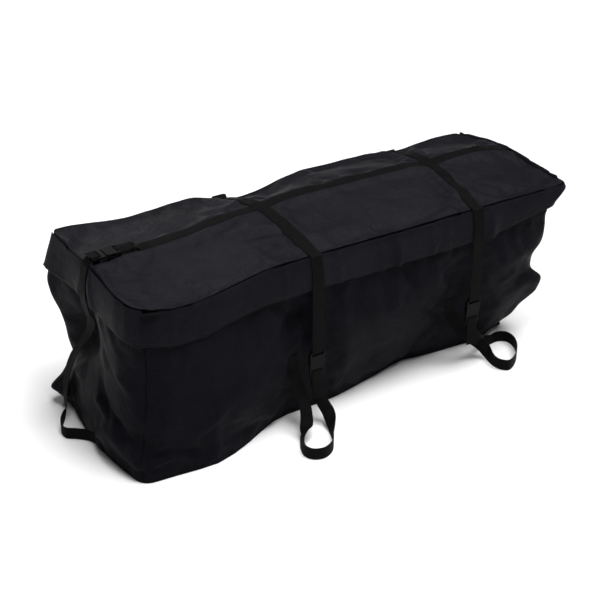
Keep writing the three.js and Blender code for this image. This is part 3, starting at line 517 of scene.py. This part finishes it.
def warped(point, corners):
    # a plan point moved from the plain rectangle to the real row
    along = point.x / (2 * bag["halfLength"]) + 0.5
    across = point.y / (2 * bag["halfDepth"]) + 0.5
    front = corners[0].lerp(corners[1], along)
    return front.lerp(corners[3].lerp(corners[2], along), across)


def castDown(surface, point):
    hit = surface.ray_cast(Vector((point.x, point.y, 1.0)), Vector((0, 0, -1)))
    return hit[0].z if hit[0] else None


def seamAt(lid, point, out):
    # height of the lid's seam beside a plan point; a wide corner needs a look further in
    for inwards in (0.012, 0.05):
        z = castDown(lid, point - out * inwards)
        if z:
            return z
    return bag["lidHeight"]


def wallHit(surface, point, out, z):
    # the wall beside a plan point, from 20 cm outside to 16 cm inside it
    start = Vector((point.x, point.y, z)) + out * 0.2
    hit = surface.ray_cast(start, -out)
    return hit[0] if hit[0] and (hit[0] - start).length < 0.36 else None


def foldPush(place):
    # how far the measured folds push a point outwards
    total = 0.0
    for start, end, halfWidth, push in folds:
        a, b = Vector(start), Vector(end)
        span = b - a
        t = between((place - a).dot(span) / span.length_squared, 0.0, 1.0)
        away = (place - a - span * t).length / halfWidth
        if away < 2.6:
            total += push * math.exp(-away * away) * ease(min(t, 1 - t) * 4 + 0.15)
    return total


def ridges(co, size):
    # creased cloth: sharp crests between soft hollows
    return 0.5 - 2 * abs(noise.noise(co / size))


def strapZone(co):
    # 1 under the straps that press on the lid, 0 away from them
    slantX = straps["right"] + straps["rightSlant"] * co.y / bag["halfDepth"]
    nearest = min(abs(co.x - straps["left"]), abs(co.x - slantX), abs(co.y - straps["lengthwise"]))
    return 1 - ease((nearest - straps["lidFlat"]) / straps["lidFade"])


def tieZone(co):
    # 1 behind the straps and buckles that hang on the walls, so that the cloth stays flat there
    if abs(co.x) > 0.68:
        nearest = abs(co.y - straps["lengthwise"])
    else:
        right = straps["right"] + math.copysign(straps["rightSlant"], co.y)
        nearest = min(abs(co.x - straps["left"]), abs(co.x - right))
    return 1 - ease((nearest - straps["wallFlat"]) / straps["wallFade"])


def creasePush(co, onLid):
    # loose creases, none under the straps nor at the very foot of the walls
    if onLid:
        loose = (1 - strapZone(co)) * bag["lidCrease"]
    else:
        loose = (1 - ease((0.05 - co.z) / 0.05)) * (1 - tieZone(co))
    big = bag["bigCrease"] * ridges(co, bag["bigCreaseSize"])
    small = bag["smallCrease"] * ridges(co, bag["smallCreaseSize"])
    return loose * (big + small)


def placeRims(bm, part, seamRow, lid):
    # every point of the walls goes onto the frame's own walls, row by row
    walls = frameSurface(*wallNodes)
    known = {}
    for v in bm.verts:
        u, w, level = v.co.x, v.co.y, round((v.co.z + 0.5) * topRow)
        point, out = planPoint(u, w)
        v[part] = level
        if max(abs(u), abs(w)) <= 0.4999:
            v.co = (point.x, point.y, bag["lidHeight"] if level else 0.0)
            continue
        onCorner = max(abs(u) - abs(w), abs(w) - abs(u)) < 0.0001
        v[seamRow] = 1 if level == topRow else 2 if onCorner else 0
        seam = seamAt(lid, point, out)
        if level <= wallRows:
            z = bag["wallTop"] * level / wallRows
        else:
            gusset = seam - bag["gussetFoot"]
            z = bag["gussetFoot"] + gusset * (level - wallRows - 1) / bag["gussetRows"]
        castZ = between(z, bag["edgeKept"], seam - bag["edgeKept"])
        point = warped(point, cornersAt(walls, castZ, known))
        v.co = wallHit(walls, point, out, castZ) or point
        v.co.z = z


def fillMiddles(bm, part, lid):
    # the middles of the base and the lid follow their rims, and the lid's height is the frame's
    for end in (0, topRow):
        flat = [v for v in bm.verts if v[part] == end]
        middle = [v for v in flat if all(e.other_vert(v)[part] == end for e in v.link_edges)]
        for _ in range(300):
            bmesh.ops.smooth_vert(bm, verts=middle, factor=0.5, use_axis_x=True, use_axis_y=True)
        if end:
            for v in middle:
                v.co.z = castDown(lid, v.co) or lid.find_nearest(v.co)[0].z


def layThreads(bm):
    # the weave runs level and upright on each side, so the map is the side's own plane in metres
    uv = bm.loops.layers.uv.new("UVMap")
    for face in bm.faces:
        n = face.normal
        for loop in face.loops:
            co = loop.vert.co
            if abs(n.z) > 0.7:
                loop[uv].uv = (co.x, co.y)
            elif abs(n.y) > abs(n.x):
                loop[uv].uv = (co.x, co.z)
            else:
                loop[uv].uv = (co.y, co.z)


def shellMesh():
    lid = frameSurface("lid_panel")
    bm = bmesh.new()
    bmesh.ops.create_cube(bm, size=1)
    for axis, cells in enumerate((bag["cellsAlong"], bag["cellsAcross"], topRow)):
        lines = [e for e in bm.edges if abs((e.verts[0].co - e.verts[1].co)[axis]) > 0.5]
        bmesh.ops.subdivide_edges(bm, edges=lines, cuts=cells - 1)
    # part is the row of a point, seamRow is 1 on the lid's rim and 2 on the corner seams
    part = bm.verts.layers.int.new("part")
    seamRow = bm.verts.layers.int.new("seamRow")
    placeRims(bm, part, seamRow, lid)
    fillMiddles(bm, part, lid)
    bm.verts.index_update()
    layThreads(bm)
    bm.normal_update()
    moves = {}
    for v in bm.verts:
        if v[part] > 0 and not v[seamRow]:
            gain = bag["foldGain"] * (bag["endFolds"] if v.co.x < bag["endFrom"] else 1.0)
            moves[v] = v.normal * (gain * foldPush(v.co) + creasePush(v.co, v[part] == topRow))
    for v, move in moves.items():
        v.co += move
    return bm


def crumple(piece, held, steps, slack, pressure, cap, gravity=0.4, bending=0.6):
    # cloth with a little more length than its frame, so that it buckles between its seams
    group = piece.vertex_groups.new(name="held")
    for index, weight in held.items():
        if weight > 0:
            group.add([index], weight, "REPLACE")
    rest = [v.co.copy() for v in piece.data.vertices]
    modifier = piece.modifiers.new("crumple", "CLOTH")
    cloth = modifier.settings
    cloth.quality = 6
    cloth.mass = 0.12
    cloth.tension_stiffness = cloth.compression_stiffness = 18
    cloth.shear_stiffness = 8
    cloth.bending_stiffness = bending
    cloth.tension_damping = cloth.compression_damping = cloth.shear_damping = 8
    cloth.air_damping = 3
    cloth.vertex_group_mass = "held"
    cloth.pin_stiffness = 4
    cloth.shrink_min = slack
    cloth.use_pressure = pressure != 0
    cloth.uniform_pressure_force = pressure
    cloth.effector_weights.gravity = gravity
    modifier.collision_settings.use_collision = False
    modifier.point_cache.frame_start = 1
    modifier.point_cache.frame_end = steps
    for step in range(1, steps + 1):
        scene.frame_set(step)
    applyAll(piece)
    scene.frame_set(1)
    for v, home in zip(piece.data.vertices, rest):
        move = v.co - home
        if move.length > cap:
            v.co = home + move * (cap / move.length)
    piece.vertex_groups.clear()


def clothShell():
    # held at the base, beside the zip and at the lid's rim, and nearly held behind the straps
    bm = shellMesh()
    part = bm.verts.layers.int["part"]
    held = {}
    for v in bm.verts:
        level = v[part]
        if level == 0 or wallRows - 1 <= level <= wallRows + 2:
            weight = 1.0
        elif level == topRow:
            rim = any(e.other_vert(v)[part] < topRow for e in v.link_edges)
            weight = 1.0 if rim else 0.9 * strapZone(v.co)
        elif level > wallRows:
            weight = 0.6
        else:
            weight = max(0.9 * tieZone(v.co), 0.35 * (1 - ease(level / 5)))
        held[v.index] = weight
    shell = addPiece("shell", bm, wallPaintedShadeFinish)
    crumple(shell, held, bag["steps"], bag["slack"], bag["pressure"], bag["cap"])
    print("cloth shell settled")
    return shell


def seamRuns(shell):
    # lines of shell points that carry a sewn seam: the lid's rim, the foot's rim, four corners
    bm = bmesh.new()
    bm.from_mesh(shell.data)
    part, seamRow = bm.verts.layers.int["part"], bm.verts.layers.int["seamRow"]
    rim = [v.co.copy() for v in bm.verts if v[part] == topRow and v[seamRow] == 1]
    base = [v for v in bm.verts if v[part] == 0]
    foot = [v.co.copy() for v in base if any(e.other_vert(v)[part] == 1 for e in v.link_edges)]
    upright = sorted((v for v in bm.verts if v[seamRow] == 2 and v[part] <= wallRows), key=lambda v: v[part])
    corners = []
    for signX in (-1, 1):
        for signY in (-1, 1):
            corners.append([v.co.copy() for v in upright if v.co.x * signX > 0 and v.co.y * signY > 0])
    bm.free()
    return sorted(rim, key=turnOf), sorted(foot, key=turnOf), corners


def inWalls(levels, normal):
    # the zip's gap is open at the front and the ends, and the back wall runs up to the lid
    return 0 < max(levels) <= wallRows or min(levels) == wallRows and normal.y > 0.8


def inLid(levels, normal):
    return min(levels) > wallRows


def cutOut(shell, name, keep, finish, sidePaintedShadeFinish=None):
    # one panel group of the shell as a piece of its own, with its thickness
    bm = bmesh.new()
    bm.from_mesh(shell.data)
    part = bm.verts.layers.int["part"]
    gone = [f for f in bm.faces if not keep([v[part] for v in f.verts], f.normal)]
    bmesh.ops.delete(bm, geom=gone, context="FACES")
    # the gusset faces below the lid's top take the walls' darker finish, painted shade
    if sidePaintedShadeFinish:
        for f in bm.faces:
            f.material_index = 1 if min(v[part] for v in f.verts) < topRow else 0
    piece = addPiece(name, bm, finish)
    if sidePaintedShadeFinish:
        piece.data.materials.append(sidePaintedShadeFinish)
    thicken(piece, bag["thickness"])
    refine(piece)
    applyAll(piece)
    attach(piece, "bag")
    return piece


def footSheet(run):
    # the flat base inside the foot's rim, one cloth thick
    bm = bmesh.new()
    rim = [bm.verts.new((co.x, co.y, 0)) for co in run]
    edges = [bm.edges.new((a, b)) for a, b in zip(rim, rim[1:] + rim[:1])]
    bmesh.ops.triangle_fill(bm, edges=edges, use_beauty=True)
    if sum(f.normal.z for f in bm.faces) > 0:
        bmesh.ops.reverse_faces(bm, faces=bm.faces)
    piece = addPiece("footCloth", bm, baseFinish, smooth=False)
    thicken(piece, bag["thickness"])
    applyAll(piece)
    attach(piece, "bag")
    return piece


shell = clothShell()
lidRim, footRim, cornerRuns = seamRuns(shell)
wallCloth = cutOut(shell, "wallCloth", inWalls, wallPaintedShadeFinish)
# the lid's gusset strip is given the walls' painted shade
lidCloth = cutOut(shell, "lidCloth", inLid, lidPaintedLightFinish, wallPaintedShadeFinish)
footCloth = footSheet(footRim)
bpy.data.objects.remove(shell)
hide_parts("front_panel", "back_panel", "left_end_panel", "right_end_panel")
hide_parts("lid_panel", "lid_gusset")
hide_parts("bottom_panel")
print("walls, lid and base cut from the shell")


# rain flap
flap = {
    "rows": 10, "columns": 300, "thickness": 0.0016, "seamDrop": 0.0012,
    # how far it hangs down, and where it gets narrower towards the right
    "drop": 0.100, "dropRight": 0.062, "narrowFrom": 0.45, "narrowOver": 0.3, "meanDrop": 0.096,
    "steps": 20, "slack": -0.03, "cap": 0.009, "strapHalf": 0.024,
    # room over what is under it, and how far inside the frame's flap it may get
    "clear": 0.0032, "inwards": 0.0004, "pucker": 2.1,
}
# puckers seen in the photo: x along the front, half width, push outwards
puckers = [
    (-0.620, 0.020, -0.003), (-0.434, 0.020, -0.003), (-0.339, 0.012, -0.005), (-0.301, 0.014, 0.005),
    (-0.124, 0.016, 0.007), (-0.084, 0.016, -0.003), (0.025, 0.012, 0.006), (0.053, 0.009, -0.004),
    (0.082, 0.012, 0.008), (0.107, 0.009, -0.008), (0.210, 0.010, 0.005), (0.236, 0.009, -0.004),
    (0.267, 0.009, 0.005), (0.289, 0.009, -0.003), (0.433, 0.012, 0.004), (0.484, 0.010, -0.004),
]


def flapLength():
    # from the back left corner round the front to the back right one
    halfX, halfY, r = bag["halfLength"], bag["halfDepth"], bag["corner"]
    side, turn = 2 * halfY - 2 * r + r * math.pi / 4, r * math.pi / 2
    return sum([side, turn, 2 * halfX - 2 * r, turn, side])


def flapPlace(share):
    # a point of the flap's seam on the plain plan, and the way out from it
    halfX, halfY, r = bag["halfLength"], bag["halfDepth"], bag["corner"]
    straight = 2 * halfY - 2 * r
    arc = r * math.pi / 4
    # length of each leg, its start or centre, and the way out at both its ends
    legs = [
        (arc, (-halfX + r, halfY - r), 135, 180), (straight, (-halfX, halfY - r), 180, 180),
        (2 * arc, (-halfX + r, -halfY + r), 180, 270), (2 * halfX - 2 * r, (-halfX + r, -halfY), 270, 270),
        (2 * arc, (halfX - r, -halfY + r), 270, 360), (straight, (halfX, -halfY + r), 360, 360),
        (arc, (halfX - r, halfY - r), 360, 405),
    ]
    s = share * flapLength()
    for length, place, fromTurn, toTurn in legs:
        if s <= length + 1e-9:
            turn = math.radians(fromTurn + (toTurn - fromTurn) * s / length)
            out = Vector((math.cos(turn), math.sin(turn), 0))
            if fromTurn != toTurn:
                return Vector((*place, 0)) + out * r, out
            return Vector((*place, 0)) + Vector((-out.y, out.x, 0)) * s, out
        s -= length


def flapMesh():
    # a grid laid on the frame's flap and puckered as in the photo; homes are the places before that
    surface = frameSurface("lid_flap")
    around = frameSurface("lid_flap", *wallNodes)
    lid = frameSurface("lid_panel")
    bm = bmesh.new()
    uv = bm.loops.layers.uv.new("UVMap")
    bmesh.ops.create_grid(bm, x_segments=flap["columns"], y_segments=flap["rows"], size=0.5)
    bm.verts.index_update()
    shares = [(v.co.x + 0.5, 0.5 - v.co.y) for v in bm.verts]
    homes, known = [], {}
    for v, (along, down) in zip(bm.verts, shares):
        point, out = flapPlace(between(along, 0.002, 0.998))
        seam = seamAt(lid, point, out)
        shorter = ease((point.x - flap["narrowFrom"]) / flap["narrowOver"])
        drop = flap["drop"] + (flap["dropRight"] - flap["drop"]) * shorter
        z = seam - flap["seamDrop"] - drop * down
        castZ = between(z, seam - drop - 0.0005, seam - 0.0022)
        point = warped(point, cornersAt(around, castZ, known))
        v.co = wallHit(surface, point, out, castZ) or point + out * 0.01
        v.co.z = z
        homes.append((v.co.copy(), out))
        if out.y < -0.9:
            for atX, halfWidth, push in puckers:
                away = (point.x - atX) / halfWidth
                v.co += out * flap["pucker"] * push * math.exp(-away * away) * ease(0.25 + down)
    length = flapLength()
    for face in bm.faces:
        for loop in face.loops:
            along, down = shares[loop.vert.index]
            loop[uv].uv = (along * length, -down * flap["drop"])
    return bm, shares, homes


def flapHeld(co, down):
    # sewn in along its top, and nearly held where a strap crosses it
    fromLeft = abs(co.x - straps["left"])
    fromRight = abs(co.x - (straps["right"] - straps["rightSlant"]))
    if co.y < -0.25 and min(fromLeft, fromRight) < flap["strapHalf"]:
        return 0.9
    if abs(co.x) > 0.72 and abs(co.y - straps["lengthwise"]) < flap["strapHalf"]:
        return 0.9
    return 1.0 if down < 0.12 else 0.0


def keepClear(piece, homes):
    # never further in than the frame's flap, so that the sliders keep their room under it
    names = ["zip_tape_body", "zip_chain"]
    names += ["zip_slider_left", "zip_slider_right", "zip_pull_left", "zip_pull_right"]
    under = surfaceOf(wallCloth, lidCloth, *(nodes[name] for name in names))
    for v, (home, out) in zip(piece.data.vertices, homes):
        v.co += out * max(0.0, (home - v.co).dot(out) - flap["inwards"])
        out = outwards(v.co)
        hit = under.ray_cast(v.co + out * 0.08, -out, 0.14)[0]
        if hit and (hit - v.co).dot(out) > -flap["clear"]:
            v.co = hit + out * flap["clear"]


def hungFlap():
    # the flap, and the line that its hem is sewn along
    bm, shares, homes = flapMesh()
    held = {v.index: flapHeld(v.co, shares[v.index][1]) for v in bm.verts}
    piece = addPiece("flapCloth", bm, flapPaintedLightFinish)
    crumple(piece, held, flap["steps"], flap["slack"], 0.0, flap["cap"], gravity=0.3, bending=0.3)
    keepClear(piece, homes)
    hem = sorted((along, index) for index, (along, down) in enumerate(shares) if abs(down - 0.9) < 0.01)
    run = [piece.data.vertices[index].co.copy() for along, index in hem]
    thicken(piece, flap["thickness"])
    refine(piece)
    applyAll(piece)
    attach(piece, "bag")
    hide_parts("lid_flap")
    return piece, run


flapCloth, hemRun = hungFlap()
print("rain flap hung")


# bound seams, darkened as painted shade, and sewn rows
seams = {
    "rimRadius": 0.0015, "cornerRadius": 0.0012, "footRadius": 0.0012,
    "rimProud": 0.0008, "cornerProud": 0.0003, "footLift": 0.0016,
    "pitch": 0.0055, "stitch": (0.0036, 0.0008, 0.0006), "lidInset": 0.010,
}


def boundSeamPaintedShade(name, runs, radius, closed):
    # a bead of doubled cloth along each run; its dark colour is painted shade of the seam's crease
    line = bpy.data.curves.new(name, "CURVE")
    line.dimensions = "3D"
    line.bevel_depth = radius
    line.bevel_resolution = 1
    line.use_fill_caps = True
    for run in runs:
        spline = line.splines.new("POLY")
        spline.points.add(len(run) - 1)
        spline.use_cyclic_u = closed
        for point, co in zip(spline.points, run):
            point.co = (*co, 1)
    drawn = bpy.data.objects.new(name + "Line", line)
    scene.collection.objects.link(drawn)
    bm = bmesh.new()
    bm.from_mesh(drawn.to_mesh())
    drawn.to_mesh_clear()
    bpy.data.objects.remove(drawn)
    bmesh.ops.remove_doubles(bm, verts=bm.verts, dist=0.00005)
    bmesh.ops.recalc_face_normals(bm, faces=bm.faces)
    piece = addPiece(name, bm, seamPaintedShadeFinish)
    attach(piece, "bag")


def evenly(run, pitch, closed):
    # points at one pitch along a run, each with the way it goes
    ends = run[1:] + run[:1] if closed else run[1:]
    spots, ahead = [], pitch / 2
    for a, b in zip(run, ends):
        length = (b - a).length
        while length > 0 and ahead < length:
            spots.append((a.lerp(b, ahead / length), (b - a).normalized()))
            ahead += pitch
        ahead -= length
    return spots


def sewnRows(name, rows):
    # one small block for each stitch, laid on the cloth under it
    bm = bmesh.new()
    for run, closed, tree, lift in rows:
        for place, way in evenly(run, seams["pitch"], closed):
            spot, normal = tree.find_nearest(place + lift(place) * 0.002)[:2]
            side = normal.cross(way).normalized()
            way = side.cross(normal)
            turn = Matrix((way, side, normal)).transposed().to_4x4()
            size = Matrix.Diagonal((*seams["stitch"], 1))
            place = Matrix.Translation(spot + normal * 0.0001)
            bmesh.ops.create_cube(bm, size=1, matrix=place @ turn @ size)
    piece = addPiece(name, bm, threadFinish, smooth=False)
    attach(piece, "bag")


def upwards(co):
    return Vector((0, 0, 1))


def onSurface(run, tree, proud):
    # the run moved onto the finished cloth, a little proud of it
    spots = [tree.find_nearest(co) for co in run]
    moved = [spot + normal * proud for spot, normal, face, distance in spots]
    inner = [(a + b * 2 + c) / 4 for a, b, c in zip(moved, moved[1:], moved[2:])]
    return moved[:1] + inner + moved[-1:]


lidTree = surfaceOf(lidCloth)
wallTree = surfaceOf(wallCloth)
flapTree = surfaceOf(flapCloth)
lidLine = onSurface(lidRim, lidTree, seams["rimProud"])
cornerLines = [onSurface(run[1:], wallTree, seams["cornerProud"]) for run in cornerRuns]
footLine = [co + Vector((0, 0, seams["footLift"])) for co in footRim]
boundSeamPaintedShade("lidSeam", [lidLine], seams["rimRadius"], True)
boundSeamPaintedShade("cornerSeams", cornerLines, seams["cornerRadius"], False)
boundSeamPaintedShade("footSeam", [footLine], seams["footRadius"], True)
lidRow = [co - outwards(co) * seams["lidInset"] for co in lidRim]
sewnRows("lidTopstitch", [(lidRow, True, lidTree, upwards)])
sewnRows("flapHemStitch", [(hemRun[3:-3], False, flapTree, outwards)])
print("seams bound and sewn")


# webbing
webbing = {
    "width": 0.038, "thickness": 0.0018, "across": 6, "spacing": 0.008,
    # gap over the cloth, how far off it counts as lying on the lid, how far it looks for a wall
    "gap": 0.0012, "lidNear": 0.012, "lookOut": 0.08, "lookIn": 0.04,
    # how far in front of a plug the two places given for its strap lie, on a wall and on the lid
    "fadeStart": 0.13, "lidFadeStart": 0.11, "fadeEnd": 0.045,
}


def ringsOf(node):
    # the stations of a swept band: rings of four vertices, found one after another from its end
    bm = mergedCopy(node)
    bm.verts.ensure_lookup_table()
    links = {v.index: {e.other_vert(v).index for e in v.link_edges} for v in bm.verts}
    places = {v.index: v.co.copy() for v in bm.verts}
    bm.free()

    def spread(start):
        layers, seen = [set(start)], set(start)
        while True:
            ahead = set().union(*(links[i] for i in layers[-1])) - seen
            if not ahead:
                return layers
            layers.append(ahead)
            seen |= ahead

    far = min(spread([min(spread([0])[-1])])[-1])
    nearby = sorted({j for i in links[far] for j in links[i]} | links[far] - {far})
    for i, a in enumerate(nearby):
        for j, b in enumerate(nearby[i + 1:], i + 1):
            for c in nearby[j + 1:]:
                if far in (a, b, c):
                    continue
                layers = spread([far, a, b, c])
                if all(len(layer) == 4 for layer in layers) and len(layers) * 4 == len(places):
                    corners = [places[k] for k in (far, a, b, c)]
                    gaps = sorted((p - corners[0]).length for p in corners[1:])
                    if gaps[0] < 0.003 and gaps[1] > 0.03:
                        return [[places[k] for k in layer] for layer in layers]
    raise RuntimeError("no stations found in " + node)


def stationsOf(node):
    stations = []
    for ring in ringsOf(node):
        centre = sum(ring, Vector()) / 4
        first = ring[0]
        others = sorted(ring[1:], key=lambda p: (p - first).length)
        across = ((others[1] - first) + (others[2] - others[0])).normalized()
        if stations and across.dot(stations[-1][1]) < 0:
            across = -across
        stations.append((centre, across))
    return stations


def smoothPath(stations, spacing):
    # more stations along the same line, through every one that the frame has
    path = []
    for k in range(len(stations) - 1):
        p1, w1 = stations[k]
        p2, w2 = stations[k + 1]
        p0 = stations[max(0, k - 1)][0]
        p3 = stations[min(len(stations) - 1, k + 2)][0]
        length = (p2 - p1).length
        count = max(1, round(length / spacing))
        before, after = (p1 - p0).length or length, (p3 - p2).length or length
        slope1 = ((p2 - p1) / length + (p1 - p0) / before) / 2 if k else (p2 - p1) / length
        slope2 = ((p2 - p1) / length + (p3 - p2) / after) / 2
        for n in range(count):
            t = n / count
            bend = p1 * (2 * t**3 - 3 * t**2 + 1) + slope1 * length * (t**3 - 2 * t**2 + t)
            bend += p2 * (3 * t**2 - 2 * t**3) + slope2 * length * (t**3 - t**2)
            path.append((bend, w1.lerp(w2, t).normalized()))
    path.append(stations[-1])
    return path


def onCloth(co, lid, cloth):
    # webbing lies on the lid and never runs into the cloth
    lift, lookOut = webbing["gap"], webbing["lookOut"]
    if co.z > 0.5 and abs(co.x) < 0.74 and abs(co.y) < 0.262:
        hit = lid.ray_cast(Vector((co.x, co.y, 1)), Vector((0, 0, -1)))[0]
        if hit and abs(co.z - hit.z) < webbing["lidNear"]:
            co.z = hit.z + lift
        return co
    for out in (Vector((0, -1, 0)), Vector((1, 0, 0)), Vector((-1, 0, 0)), Vector((0, 1, 0))):
        otherSide = abs(co.x) > 0.70 and out.y or abs(co.x) < 0.68 and out.x
        if otherSide or co.dot(out) < 0.1:
            continue
        start = co + out * lookOut
        hit = cloth.ray_cast(start, -out, lookOut + webbing["lookIn"])[0]
        if hit and (hit - start).dot(-out) < lookOut + lift:
            co = hit + out * lift
    return co


def ribbon(name, node, blendTo=None):
    # a woven band along a frame strap; with blendTo given, its placement is baked in and it joins no body,
    # and the body and places in blendTo are not used
    path = smoothPath(stationsOf(node), webbing["spacing"])
    steps = len(path) - 1
    bm = bmesh.new()
    uv = bm.loops.layers.uv.new("UVMap")
    bmesh.ops.create_grid(bm, x_segments=steps, y_segments=webbing["across"], size=0.5)
    along = [0.0]
    for k in range(steps):
        along.append(along[-1] + (path[k + 1][0] - path[k][0]).length)
    spot = {v: (round((v.co.x + 0.5) * steps), v.co.y) for v in bm.verts}
    for v, (k, side) in spot.items():
        centre, across = path[k]
        v.co = onCloth(centre + across * (side * webbing["width"]), lidTree, clothTree)
    for face in bm.faces:
        for loop in face.loops:
            k, side = spot[loop.vert]
            loop[uv].uv = (side * webbing["width"], along[k])
    piece = addPiece(name, bm, webbingFinish)
    thicken(piece, webbing["thickness"], 0)
    roundEdges(piece, 0.0005, 2, 50)
    applyAll(piece)
    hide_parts(node)
    if blendTo:
        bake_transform(piece)
    else:
        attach(piece, "bag")


clothTree = surfaceOf(wallCloth, lidCloth, flapCloth)
ribbon("lengthwiseWebbing", "lengthwise_strap")
ribbon("crossWebbingLeft", "cross_strap_left")
ribbon("crossWebbingRight", "cross_strap_right")
# where each buckle is
buckles = {
    "front_left": (-0.2, -0.2838, 0.205), "front_right": (0.38, -0.2838, 0.205),
    "back_left": (-0.2, 0.279, 0.205), "back_right": (0.46, 0.279, 0.205),
    "right_end": (0.7638, 0.02, 0.205), "left_end": (-0.698, 0.02, 0.568),
}
for place, (x, y, z) in buckles.items():
    if place == "left_end":
        start, end = (x - webbing["lidFadeStart"], y, z), (x - webbing["fadeEnd"], y, z)
    else:
        start, end = (x, y, z - webbing["fadeStart"]), (x, y, z - webbing["fadeEnd"])
    title = place.title().replace("_", "")
    ribbon("tieWebbing" + title, "tie_strap_" + place, ("plug_" + place, start, end))
print("webbing laid")


# buckles and zip
def softenedCopy(name, node, body, width):
    # a frame buckle with its edges rounded
    bm = mergedCopy(node)
    bmesh.ops.dissolve_limit(bm, angle_limit=math.radians(1), verts=bm.verts, edges=bm.edges)
    piece = addPiece(name, bm, buckleFinish, smooth=False)
    roundEdges(piece, width, 3, 35)
    applyAll(piece)
    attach(piece, body)
    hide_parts(node)


def dress(finish, *names):
    # these keep the frame's own meshes
    for name in names:
        nodes[name].data.materials.clear()
        nodes[name].data.materials.append(finish)


for place in buckles:
    title = place.title().replace("_", "")
    softenedCopy("buckleSocket" + title, "buckle_socket_" + place, "bag", 0.0008)
    softenedCopy("bucklePlug" + title, "buckle_plug_" + place, "plug_" + place, 0.0006)
dress(zipTapeFinish, "zip_tape_body", "zip_tape_lid", "zip_chain")
dress(zipMetalFinish, "zip_slider_left", "zip_slider_right", "zip_pull_left", "zip_pull_right")
print("buckles and zip dressed")
